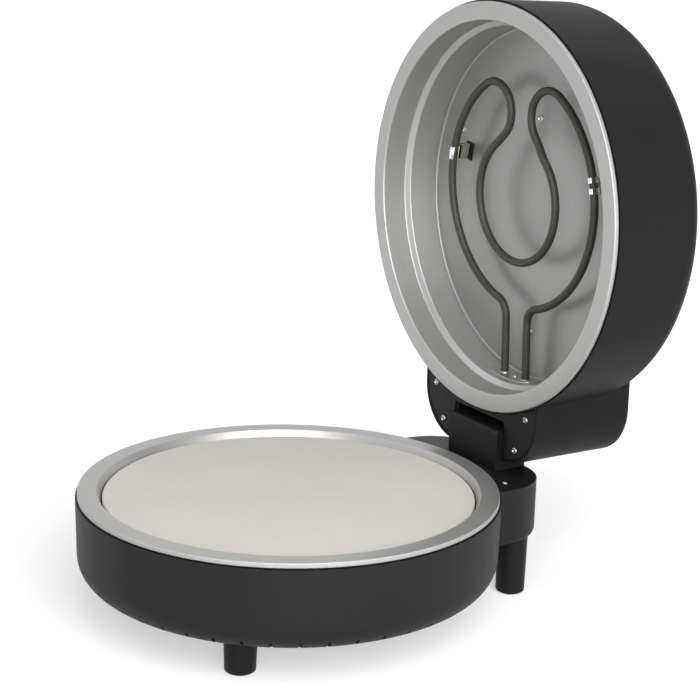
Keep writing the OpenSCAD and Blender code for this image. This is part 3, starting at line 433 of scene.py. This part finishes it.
# a tube of one radius along points in millimetres, with flat ends
def tubeAlong(points, radius, sides=28):
    bm = bmesh.new()
    points = [Vector(p) for p in points]
    last = len(points) - 1
    ways = [(points[min(i + 1, last)] - points[max(i - 1, 0)]).normalized()
            for i in range(len(points))]
    side = ways[0].orthogonal().normalized()
    rings = []
    for i, p in enumerate(points):
        if i:
            side = ways[i - 1].rotation_difference(ways[i]) @ side
            side = (side - ways[i] * side.dot(ways[i])).normalized()
        other = ways[i].cross(side)
        turns = [fullTurn * k / sides for k in range(sides)]
        around = [side * math.cos(t) + other * math.sin(t) for t in turns]
        rings.append([bm.verts.new((p + radius * way) * mm) for way in around])
    for a, b in zip(rings, rings[1:]):
        for k in range(sides):
            n = (k + 1) % sides
            bm.faces.new((a[k], a[n], b[n], b[k]))
    bm.faces.new(rings[0])
    bm.faces.new(rings[-1])
    return bm


# points of an arc; its start, sweep and step are in degrees
def arc(cx, cy, radius, start, sweep, step=3.0):
    steps = max(2, math.ceil(abs(sweep) / step))
    turns = [math.radians(start + sweep * k / steps) for k in range(steps + 1)]
    return [(cx + radius * math.cos(t), cy + radius * math.sin(t)) for t in turns]


def joinInto(bm, part):
    mesh = bpy.data.meshes.new("joined")
    part.to_mesh(mesh)
    part.free()
    bm.from_mesh(mesh)
    bpy.data.meshes.remove(mesh)


# a short sleeve with rounded ends, along Z about its middle
def sleeve(bm, inside, wall, length, place, segments=40):
    half, e = length / 2, wall * 0.4
    profile = roundedOutline([(inside, -half, e), (inside + wall, -half, e),
                              (inside + wall, half, e), (inside, half, e)], step=30)
    part = lathe(profile, segments)
    part.transform(place)
    joinInto(bm, part)


# a box with rounded edges; size in millimetres, its place as a matrix
def roundedBox(bm, size, edge, place, segments=2):
    part = bmesh.new()
    bmesh.ops.create_cube(part, size=1)
    bmesh.ops.scale(part, vec=Vector(size) * mm, verts=part.verts)
    bmesh.ops.bevel(part, geom=part.edges, offset=edge * mm, segments=segments, profile=0.5,
                    affect="EDGES", clamp_overlap=True)
    part.transform(place)
    joinInto(bm, part)


pan = {
    "open": 156.5,       # inner edge of the flat ring
    "rim": 172.0,        # outer edge of the ring
    "bend": 0.9,         # radius of that edge
    "top": 105.0,
    "ledge": 87.6,
    "lip": 153.2,        # radius of the narrow part round the stone
    "lipTop": 98.0,      # from here the wall slopes out to the ring
    "well": 144.5,
    "floor": 61.0,
    "sheet": 1.0,
    "skirt": 101.1,
    "dull": (1.5, 0.4),  # how far in and down from the rim the duller skirt begins
}


def makePan():
    d = pan
    o, r, t, s = d["open"], d["rim"], d["top"], d["sheet"]
    lip, lipTop, ledge, well, floor = d["lip"], d["lipTop"], d["ledge"], d["well"], d["floor"]
    outline = [
        (0, floor, 0), (well, floor, 3), (well, ledge, 1.2), (lip, ledge, 1.0), (lip, lipTop, 2.0),
        (o, t, 1.2), (r, t, d["bend"]), (r, d["skirt"], 0.3),
        (r - s, d["skirt"], 0.3), (r - s, t - s, 0.4), (o + s, t - s, 1.0), (lip + s, lipTop, 1.5),
        (lip + s, ledge - s, 0.8), (well + s, ledge - s, 0.6), (well + s, floor - s, 2.0),
        (0, floor - s, 0),
    ]
    piece = newPiece("spunPan", lathe(roundedOutline(outline)), "satin_aluminium", "base",
                     ("base_pan",))
    # the skirt below the rolled edge is duller than the ring
    piece.data.materials.append(finishes["skirt_aluminium"])
    inward, downward = d["dull"]
    for face in piece.data.polygons:
        x, y, z = face.center / mm
        if math.hypot(x, y) > r - inward and z < t - downward:
            face.material_index = 1


stone = {"diameter": 304.0, "thickness": 12.0, "edge": 1.6, "bottom": 87.8}


def makeStone():
    r, h, e, z = stone["diameter"] / 2, stone["thickness"], stone["edge"], stone["bottom"]
    profile = [(0, z, 0), (r, z, e), (r, z + h, e), (0, z + h, 0)]
    newPiece("bakingStone", lathe(roundedOutline(profile, step=15)), "ceramic_stone", "stone",
             ("pizza_stone",))


lowerHeater = {
    "tube": 3.4,
    "ring": 104.0,
    "bend": 14.0,        # radius of the bends from the ring to the two straight ends
    "tails": 15.0,       # half of the space between those ends
    "end": 161.6,
    "height": 75.0,
}


def makeLowerHeater():
    h = lowerHeater
    turnX = h["tails"] + h["bend"]
    turnY = math.sqrt((h["ring"] + h["bend"]) ** 2 - turnX ** 2)
    touch = math.degrees(math.atan2(turnY, turnX))
    flat = [(h["tails"], h["end"]), (h["tails"], (h["end"] + turnY) / 2)]
    flat += arc(turnX, turnY, h["bend"], 180, touch, step=5)
    flat += arc(0, 0, h["ring"], touch, -touch - 90)[1:]
    path = flat + [(-x, y) for x, y in reversed(flat[:-1])]
    bm = tubeAlong([(x, y, h["height"]) for x, y in path], h["tube"])
    newPiece("lowerHeater", bm, "oxidised_sheath", "base", ("lower_element",))


makePan()
makeStone()
makeLowerHeater()
print("stage: pan, stone and lower heater made")

liner = {
    "open": 156.5,       # inner edge of the flat ring
    "rim": 172.0,
    "bend": 0.9,
    "skirt": 3.9,
    "sheet": 1.0,
    "step": 23.6,        # how deep the step in the wall is, how wide, and how high its slope
    "stepWidth": 4.8,
    "stepHeight": 3.3,
    "ceiling": 56.0,
    "corner": 3.0,
}


def makeLiner():
    d = liner
    o, r, s = d["open"], d["rim"], d["sheet"]
    n, stepTop, ceiling = o - d["stepWidth"], d["step"] + d["stepHeight"], d["ceiling"]
    outline = [
        (0, ceiling, 0), (n, ceiling, d["corner"] - s), (n, stepTop, 1.5), (o, d["step"], 1.5),
        (o, 0, 2.0), (r, 0, d["bend"]), (r, d["skirt"], 0.3),
        (r - s, d["skirt"], 0.3), (r - s, s, 0.4), (o + s, s, 1.0), (o + s, d["step"], 1.0),
        (n + s, stepTop, 1.0), (n + s, ceiling + s, d["corner"]), (0, ceiling + s, 0),
    ]
    newPiece("spunLiner", lathe(roundedOutline(outline)), "liner_aluminium", "lid", ("lid_liner",),
             place=lidFrame)


upperHeater = {
    "tube": 3.4,
    "tails": 15.0,       # half of the space between the two straight ends
    "tailEnd": 187.6,
    "shoulder": 16.0,    # radius of the bends from those ends to the outer ring
    "ring": 100.5,
    "ringShift": 12.2,
    "lobe": 24.5,
    "lobeX": 38.4,
    "loop": 53.7,        # the inner loop, and how much deeper it lies
    "loopShift": 5.9,
    "drop": 3.0,
    "slopeSteps": 6,
    "height": 42.5,      # where the ends go through the liner's wall
    "plateY": 148.894,
    "lean": 1.8,         # degrees
}


# a point of the heater's leaning plane, in the lid's own axes: u goes to the right, v to the
# lid's front, and w to the ceiling
def leanPoint(u, v, w=0.0):
    h = upperHeater
    lean = math.radians(h["lean"])
    v += h["plateY"]
    y = v * math.cos(lean) + w * math.sin(lean)
    return Vector((u, h["plateY"] - y, h["height"] - v * math.sin(lean) + w * math.cos(lean)))


def makeUpperHeater():
    h = upperHeater
    ring, shift, lobe, loop = h["ring"], h["ringShift"], h["lobe"], h["loop"]
    turnX = h["tails"] + h["shoulder"]
    turnV = shift - math.sqrt((ring + h["shoulder"]) ** 2 - turnX ** 2)
    turnTouch = math.degrees(math.atan2(shift - turnV, turnX))
    lobeV = shift + math.sqrt((ring - lobe) ** 2 - h["lobeX"] ** 2)
    lobeTouch = math.degrees(math.atan2(lobeV - shift, h["lobeX"]))
    reach = math.hypot(h["lobeX"], lobeV - h["loopShift"])
    cross = math.degrees(math.atan2(lobeV - h["loopShift"], h["lobeX"])
                         - math.acos((loop + lobe) / reach))
    flat = [(h["tails"], -h["tailEnd"]), (h["tails"], (turnV - h["tailEnd"]) / 2)]
    flat += arc(turnX, turnV, h["shoulder"], 180, -turnTouch, step=5)
    flat += arc(0, shift, ring, -turnTouch, turnTouch + lobeTouch, step=2.5)[1:]
    flat += arc(h["lobeX"], lobeV, lobe, lobeTouch, 180 + cross - lobeTouch, step=5)[1:]
    half = [(u, v, 0) for u, v in flat]
    inner = [(u, v, -h["drop"]) for u, v in arc(0, h["loopShift"], loop, cross, -90 - cross)]
    # the step down to the inner loop, as a soft slope
    first, last = Vector(half[-1]), Vector(inner[0])
    for k in range(1, h["slopeSteps"]):
        t = k / h["slopeSteps"]
        p = first.lerp(last, t)
        half.append((p.x, p.y, -h["drop"] * (t * t * (3 - 2 * t))))
    half += inner
    whole = half + [(-u, v, w) for u, v, w in reversed(half[:-1])]
    bm = tubeAlong([leanPoint(*p) for p in whole], h["tube"])
    newPiece("upperHeater", bm, "oxidised_sheath", "lid", ("upper_element",), place=lidFrame)


makeLiner()
makeUpperHeater()
print("stage: liner and upper heater made")

heaterPlate = {
    "half": 28.0,
    "tall": 20.0,
    "corner": 8.0,
    "sheet": 1.2,
    "edge": 0.3,
    "bends": 16,
    "wall": 151.6,       # radius of the liner's wall that it lies on
    "height": 42.5,
    "grommet": (0.1, 1.1, 2.6),    # gap round the tube, wall and length
    "grommetPlace": (150.2, 42.45),
}


# a plate bent to the liner's wall, with a grommet ring round each of the heater's tails
def makeHeaterPlate():
    d = heaterPlate
    half, tall, corner, wall = d["half"], d["tall"] / 2, d["corner"], d["wall"] * mm
    outline = roundedOutline([(-half, -tall, corner), (half, -tall, corner), (half, tall, corner),
                              (-half, tall, corner)], step=9)
    bm = bmesh.new()
    bm.faces.new([bm.verts.new((p.x * mm, 0, p.y * mm)) for p in outline])
    for k in range(1, d["bends"]):
        x = (-half + 2 * half * k / d["bends"]) * mm
        bmesh.ops.bisect_plane(bm, geom=bm.verts[:] + bm.edges[:] + bm.faces[:],
                               plane_co=(x, 0, 0), plane_no=(1, 0, 0))
    made = bmesh.ops.extrude_face_region(bm, geom=bm.faces[:])
    for v in made["geom"]:
        if isinstance(v, bmesh.types.BMVert):
            v.co.y = -d["sheet"] * mm
    for v in bm.verts:
        radius, angle = wall + v.co.y, v.co.x / wall
        v.co = Vector((radius * math.sin(angle), radius * math.cos(angle),
                       v.co.z + d["height"] * mm))
    piece = newPiece("heaterPlate", bm, "zinc_steel", "lid", ("element_plate",), place=lidFrame)
    breakEdges(piece, d["edge"], 30)
    rings = bmesh.new()
    gap, thick, length = d["grommet"]
    for side in (-1, 1):
        spot = Vector((side * upperHeater["tails"], *d["grommetPlace"]))
        sleeve(rings, upperHeater["tube"] + gap, thick, length,
               Matrix.Translation(spot * mm) @ Matrix.Rotation(math.pi / 2, 4, "X"))
    newPiece("heaterGrommets", rings, "zinc_steel", "lid", place=lidFrame)


clips = {
    "angle": 12.0,       # place round the heater's ring, from its right-hand side
    "inside": 3.5,
    "wall": 0.9,
    "left": ((0.0, 11.5),),                # one wide band: (place along the tube, length)
    "right": ((-4.4, 4.8), (4.4, 4.8)),    # two narrow bands
    "mouths": ((13, 92), (-32, 46)),       # middle and width of each band's opening, in degrees
    "gap": 0.3,                            # from the bands to the straps
    "web": 1.2,                            # thickness of the right strap down to the liner
    "webExtra": 4.0,                       # how much wider it is than its bands
    "foot": (10.0, 1.5),                   # its foot's length, and how much wider that is
    "blockWeb": 3.0,                       # thickness of the left strap
    "edge": 0.25,
    "block": (4.4, 13.5, 9.4),             # ceramic block on the left
    "blockRound": 0.5,
    "blockShift": -4.3,
    "seat": (10.4, 15.4, 1.5),             # dark plate under the block
    "seatShift": -2.7,
    "rivet": (-110.4, -50.4),              # beside the block
    "rivetSize": 0.75,                     # against a common screw
    "rivetLength": 6.0,
    "ceiling": 55.95,
}


# a band bent round a tube, open over an angle of its round
def openBand(bm, inside, wall, length, place, mouth, segments=44):
    part = bmesh.new()
    middle, gap = mouth
    section = ((inside, -length / 2), (inside + wall, -length / 2),
               (inside + wall, length / 2), (inside, length / 2))
    rows = []
    for k in range(segments + 1):
        a = math.radians(middle + gap / 2 + (360 - gap) * k / segments)
        rows.append([part.verts.new((r * mm * math.cos(a), r * mm * math.sin(a), z * mm))
                     for r, z in section])
    for a, b in zip(rows, rows[1:]):
        for k in range(4):
            n = (k + 1) % 4
            part.faces.new((a[k], a[n], b[n], b[k]))
    part.faces.new(rows[0])
    part.faces.new(rows[-1])
    bmesh.ops.recalc_face_normals(part, faces=part.faces)
    sharp = [edge for edge in part.edges if edge.calc_face_angle(0) > 1]
    bmesh.ops.bevel(part, geom=sharp, offset=wall * 0.35 * mm, segments=2, profile=0.5,
                    affect="EDGES", clamp_overlap=True)
    part.transform(place)
    joinInto(bm, part)


# upright beside a point of the heater, turned about Z
def standAt(point, aside, height, turn):
    spot = Vector((point.x + aside, point.y, height)) * mm
    return Matrix.Translation(spot) @ Matrix.Rotation(turn, 4, "Z")


def makeClips():
    c, h = clips, upperHeater
    a = math.radians(c["angle"])
    deep, seatDeep = c["block"][2], c["seat"][2]
    block, bracket, bands = bmesh.new(), bmesh.new(), bmesh.new()
    for side, lengths in ((-1, c["left"]), (1, c["right"])):
        u, v = side * h["ring"] * math.cos(a), h["ringShift"] + h["ring"] * math.sin(a)
        middle = leanPoint(u, v)
        along = (leanPoint(u - side * math.sin(a), v + math.cos(a)) - middle).normalized()
        down = Vector((0, 0, 1)) - along * along.z
        down.normalize()
        bent = Matrix((down.cross(along), down, along)).transposed().to_4x4()
        for shift, length in lengths:
            place = Matrix.Translation((middle + along * shift) * mm) @ bent
            openBand(bands, c["inside"], c["wall"], length, place, c["mouths"][side > 0])
        turn = -side * a
        wide = sum(length for _, length in lengths)
        start = middle.z + c["inside"] + c["gap"]
        if side < 0:
            end = c["ceiling"] - (deep + seatDeep)
            roundedBox(bracket, (c["blockWeb"], wide, end - start), c["edge"],
                       standAt(middle, c["blockShift"] / 2, (start + end) / 2, turn))
            roundedBox(bracket, c["seat"], c["edge"],
                       standAt(middle, c["seatShift"], c["ceiling"] - seatDeep / 2, turn))
            height = c["ceiling"] - seatDeep - deep / 2
            roundedBox(block, c["block"], c["blockRound"],
                       standAt(middle, c["blockShift"], height, turn), segments=3)
        else:
            end = c["ceiling"]
            wide += c["webExtra"]
            roundedBox(bands, (c["web"], wide, end - start), c["edge"],
                       standAt(middle, 0, (start + end) / 2, turn))
            long, wider = c["foot"]
            roundedBox(bands, (long, wide + wider, c["web"]), c["edge"],
                       standAt(middle, 0, end - c["web"] / 2, turn))
    newPiece("heaterBands", bands, "bright_band", "lid", ("upper_element_clips",), place=lidFrame)
    newPiece("sensorBracket", bracket, "black_steel", "lid", place=lidFrame)
    newPiece("sensorBody", block, "beige_ceramic", "lid", ("sensor_block",), place=lidFrame)


makeHeaterPlate()
makeClips()
print("stage: heater plate and clips made")

screwHead = {
    "across": 6.2,
    "height": 1.3,
    # how far in from the edge, and at what share of the height
    "dome": ((0, 0), (0, 0.35), (0.18, 0.62), (0.6, 0.86), (1.15, 1)),
    "shank": 3.2,
    "recess": 3.7,       # the cross: its length, its width, its depth, and its size at the bottom
    "slot": 1.25,
    "depth": 1.1,
    "taper": 0.6,
    "steps": 48,
    "crease": 30,
}
panScrewRing = {
    "radius": 118,
    "angles": (20, 160, 200, 340),
    "heights": (31.6, 61.0),
    "middle": 50,        # screws below this height point down
}


def panScrewSpots():
    spots = []
    for height in panScrewRing["heights"]:
        for angle in panScrewRing["angles"]:
            a, radius = math.radians(angle), panScrewRing["radius"]
            spots.append((radius * math.cos(a), radius * math.sin(a), height, angle))
    return spots


# node, body, length, way up, size against the common head, and places with the turn of the cross
screwSets = {
    "plateScrews": ("hinge_plate_screws", "lid", 14, "down", 0.95,
                    ((-66, 167.5, 5.6, 20), (66, 167.5, 5.6, 65),
                     (-53.3, 198, 5.6, 40), (53.3, 198, 5.6, 8))),
    "blockScrews": ("block_screws", "base", 10, "up", 0.75,
                    ((63.3, 172, 100, 30), (-52, 204, 100, 75))),
    "heaterPlateScrew": ("element_plate_screw", "lid", 10, "ahead", 0.8,
                         ((0, 150.3, 42.5, 20),)),
    "linerScrews": ("liner_screws", "lid", 12, "down", 1.0,
                    ((0, -74, 56, 10), (0, 111, 56, 50))),
    "panScrews": ("pan_screws", "base", 12, "both", 1.0, panScrewSpots()),
}


# a cross-head screw with its head's seat at z = 0; length in millimetres, for the common size
def screwInto(bm, length, size, place):
    h = screwHead
    part = bmesh.new()
    radius, top, shank, count = h["across"] / 2, h["height"], h["shank"] / 2, h["steps"]

    def ring(r, z):
        turns = [fullTurn * k / count for k in range(count)]
        return [part.verts.new((r * math.cos(t), r * math.sin(t), z)) for t in turns]

    def wall(a, b):
        for k in range(len(a)):
            n = (k + 1) % len(a)
            part.faces.new((a[k], a[n], b[n], b[k]))

    rings = [ring(shank, -length), ring(shank, 0)]
    rings += [ring(radius - inward, top * share) for inward, share in h["dome"]]
    for a, b in zip(rings, rings[1:]):
        wall(a, b)
    part.faces.new(list(reversed(rings[0])))

    # the cross gets shorter by the scale, and narrower by half as much
    def cross(scale, z):
        long, wide = h["recess"] / 2 * scale, h["slot"] / 2 * (0.5 + 0.5 * scale)
        corners = ((long, -wide), (long, wide), (wide, wide), (wide, long), (-wide, long),
                   (-wide, wide), (-long, wide), (-long, -wide), (-wide, -wide), (-wide, -long),
                   (wide, -long), (wide, -wide))
        return [part.verts.new((x, y, z)) for x, y in corners]

    mouth, floor = cross(1.0, top), cross(h["taper"], top - h["depth"])
    wall(list(reversed(mouth)), list(reversed(floor)))
    part.faces.new(floor)
    # the flat top, between the outline and the cross
    rim = [part.edges.get((loop[k], loop[(k + 1) % len(loop)])) for loop in (rings[-1], mouth)
           for k in range(len(loop))]
    bmesh.ops.triangle_fill(part, edges=rim, use_beauty=True, use_dissolve=False, normal=(0, 0, 1))
    bmesh.ops.scale(part, vec=(mm * size,) * 3, verts=part.verts)
    part.transform(place)
    joinInto(bm, part)


def makeScrews():
    ways = {"up": Matrix(), "down": Matrix.Rotation(math.pi, 4, "X"),
            "ahead": Matrix.Rotation(math.pi / 2, 4, "X")}
    for name, (node, body, length, way, size, places) in screwSets.items():
        bm = bmesh.new()
        for x, y, z, turn in places:
            face = way
            if way == "both":
                face = "down" if z < panScrewRing["middle"] else "up"
            spot = Matrix.Translation(Vector((x, y, z)) * mm) @ ways[face]
            spot = spot @ Matrix.Rotation(math.radians(turn), 4, "Z")
            screwInto(bm, length / size, size, spot)
        newPiece(name, bm, slotOf[node], body, (node,),
                 place=lidFrame if body == "lid" else None, crease=screwHead["crease"])


# the small rivet beside the ceramic block
def makeRivet():
    spot = Vector((*clips["rivet"], liner["ceiling"])) * mm
    bm = bmesh.new()
    screwInto(bm, clips["rivetLength"], clips["rivetSize"],
              Matrix.Translation(spot) @ Matrix.Rotation(math.pi, 4, "X"))
    newPiece("sensorRivet", bm, "zinc_steel", "lid", place=lidFrame,
             crease=screwHead["crease"])


makeScrews()
makeRivet()
print("stage: screws made")

# width of the broken edges of each moulded or folded part, in millimetres
softEdges = {
    "base_casing": 0.35, "rear_block": 0.5, "rear_block_top": 0.5, "hinge_post": 1.0,
    "hinge_plate": 0.4, "lid_casing": 0.4, "front_left_leg": 0.4, "front_right_leg": 0.4,
    "rear_left_leg": 0.4, "rear_right_leg": 0.4, "lid_handle": 0.5, "thermostat_knob": 0.25,
    "left_hinge_bracket": 0.3, "right_hinge_bracket": 0.3, "cable_gland": 0.4,
}
softFinish = {"lid_casing": "lid_plastic", "rear_block_top": "block_top_plastic"}
softMesh = {
    "weld": 2e-6,
    "flat": 0.6,         # faces that meet at less than this, in degrees, become one
    "sharp": 32,         # edges that turn by more than this are broken
}


# a copy of a CAD part with its sharp edges broken
def makeSoft(node, width):
    bm = bmesh.new()
    bm.from_mesh(frame["nodes"][node].data)
    bmesh.ops.remove_doubles(bm, verts=bm.verts, dist=softMesh["weld"])
    bmesh.ops.dissolve_limit(bm, angle_limit=math.radians(softMesh["flat"]), verts=bm.verts,
                             edges=bm.edges)
    name = "soft" + "".join(word.capitalize() for word in node.split("_"))
    piece = newPiece(name, bm, softFinish.get(node, slotOf[node]), bodyOf[node], (node,))
    breakEdges(piece, width, softMesh["sharp"])


for node, width in softEdges.items():
    makeSoft(node, width)
print("stage: moulded parts softened")

for name, piece in frame["nodes"].items():
    piece.data.materials.clear()
    piece.data.materials.append(finishes[slotOf[name]])
    piece.data.polygons.foreach_set("material_index", [0] * len(piece.data.polygons))
print("stage: CAD parts dressed")

studio = {
    "reach": 30,         # half of the floor's width
    "floor": 0.62,       # how bright the floor is under the lamps
    "glow": 0.49,        # what the floor adds to the camera's own view, near the object
    "near": 0.20,        # from here outwards it glows more, up to 1 at far
    "far": 1.0,
    "room": 0.20,        # light from all round
    "aim": (0, 0.05, 0.15),
    # name, watts, place and size of each soft lamp
    "lamps": (
        ("left", 4.0, (-1.7, -1.3, 1.7), 0.8),
        ("right", 38.0, (2.6, -0.6, 0.5), 1.6),
        ("rightFront", 22.0, (2.1, -1.6, 0.5), 1.6),
        ("rightFrontHigh", 22.0, (1.8, -1.3, 1.8), 1.6),
        ("top", 5.0, (0.4, -0.2, 2.4), 1.2),
        ("rightHigh", 36.0, (1.9, -0.3, 1.8), 1.6),
        ("topBack", 4.0, (-0.3, 1.5, 2.3), 1.8),
        ("rightBack", 12.0, (2.4, 1.2, 0.8), 1.6),
    ),
}


# 1 for what the camera, a reflection or a clear lens sees, and 0 for light on the object
def seenRays(tree):
    rays = add(tree, "LightPath").outputs
    seen = calc(tree, "MAXIMUM", rays["Is Camera Ray"], rays["Is Glossy Ray"])
    return calc(tree, "MAXIMUM", seen, rays["Is Transmission Ray"])


def makeFloor():
    bm = bmesh.new()
    bmesh.ops.create_grid(bm, x_segments=1, y_segments=1, size=studio["reach"])
    mesh = bpy.data.meshes.new("floor")
    bm.to_mesh(mesh)
    bm.free()
    floor = bpy.data.objects.new("floor", mesh)
    bpy.context.scene.collection.objects.link(floor)
    material, tree, shader = startFinish("paleFloor", Roughness=0.9, Specular_IOR_Level=0.0)
    shader.inputs["Base Color"].default_value = (studio["floor"],) * 3 + (1,)
    # further from the object the floor glows by itself
    far = add(tree, "VectorMath", {0: objectCoords(tree)}, operation="LENGTH").outputs[1]
    glow = add(tree, "MapRange", {"Value": far, "From Min": studio["near"],
                                  "From Max": studio["far"], "To Min": studio["glow"],
                                  "To Max": 1.0}, interpolation_type="SMOOTHSTEP").outputs[0]
    light = add(tree, "Emission", {"Strength": calc(tree, "MULTIPLY", seenRays(tree), glow)})
    both = add(tree, "AddShader", {0: shader.outputs[0], 1: light.outputs[0]})
    tree.links.new(both.outputs[0], tree.nodes["Material Output"].inputs["Surface"])
    mesh.materials.append(material)


def makeWorld():
    world = bpy.data.worlds.new("studio")
    bpy.context.scene.world = world
    world.use_nodes = True
    tree = world.node_tree
    ground = tree.nodes["Background"]
    ground.inputs["Color"].default_value = (1, 1, 1, 1)
    tree.links.new(spread(tree, seenRays(tree), studio["room"], 1.0), ground.inputs["Strength"])


def makeLamp(name, power, place, size):
    data = bpy.data.lights.new(name, "AREA")
    data.shape = "SQUARE"
    data.size = size
    data.energy = power
    lamp = bpy.data.objects.new(name, data)
    bpy.context.scene.collection.objects.link(lamp)
    lamp.location = place
    lamp.rotation_mode = "QUATERNION"
    toward = Vector(studio["aim"]) - Vector(place)
    lamp.rotation_quaternion = toward.to_track_quat("-Z", "Y")


makeFloor()
makeWorld()
for lamp in studio["lamps"]:
    makeLamp(*lamp)
bpy.context.scene.view_settings.view_transform = "Standard"
print("stage: studio lit")
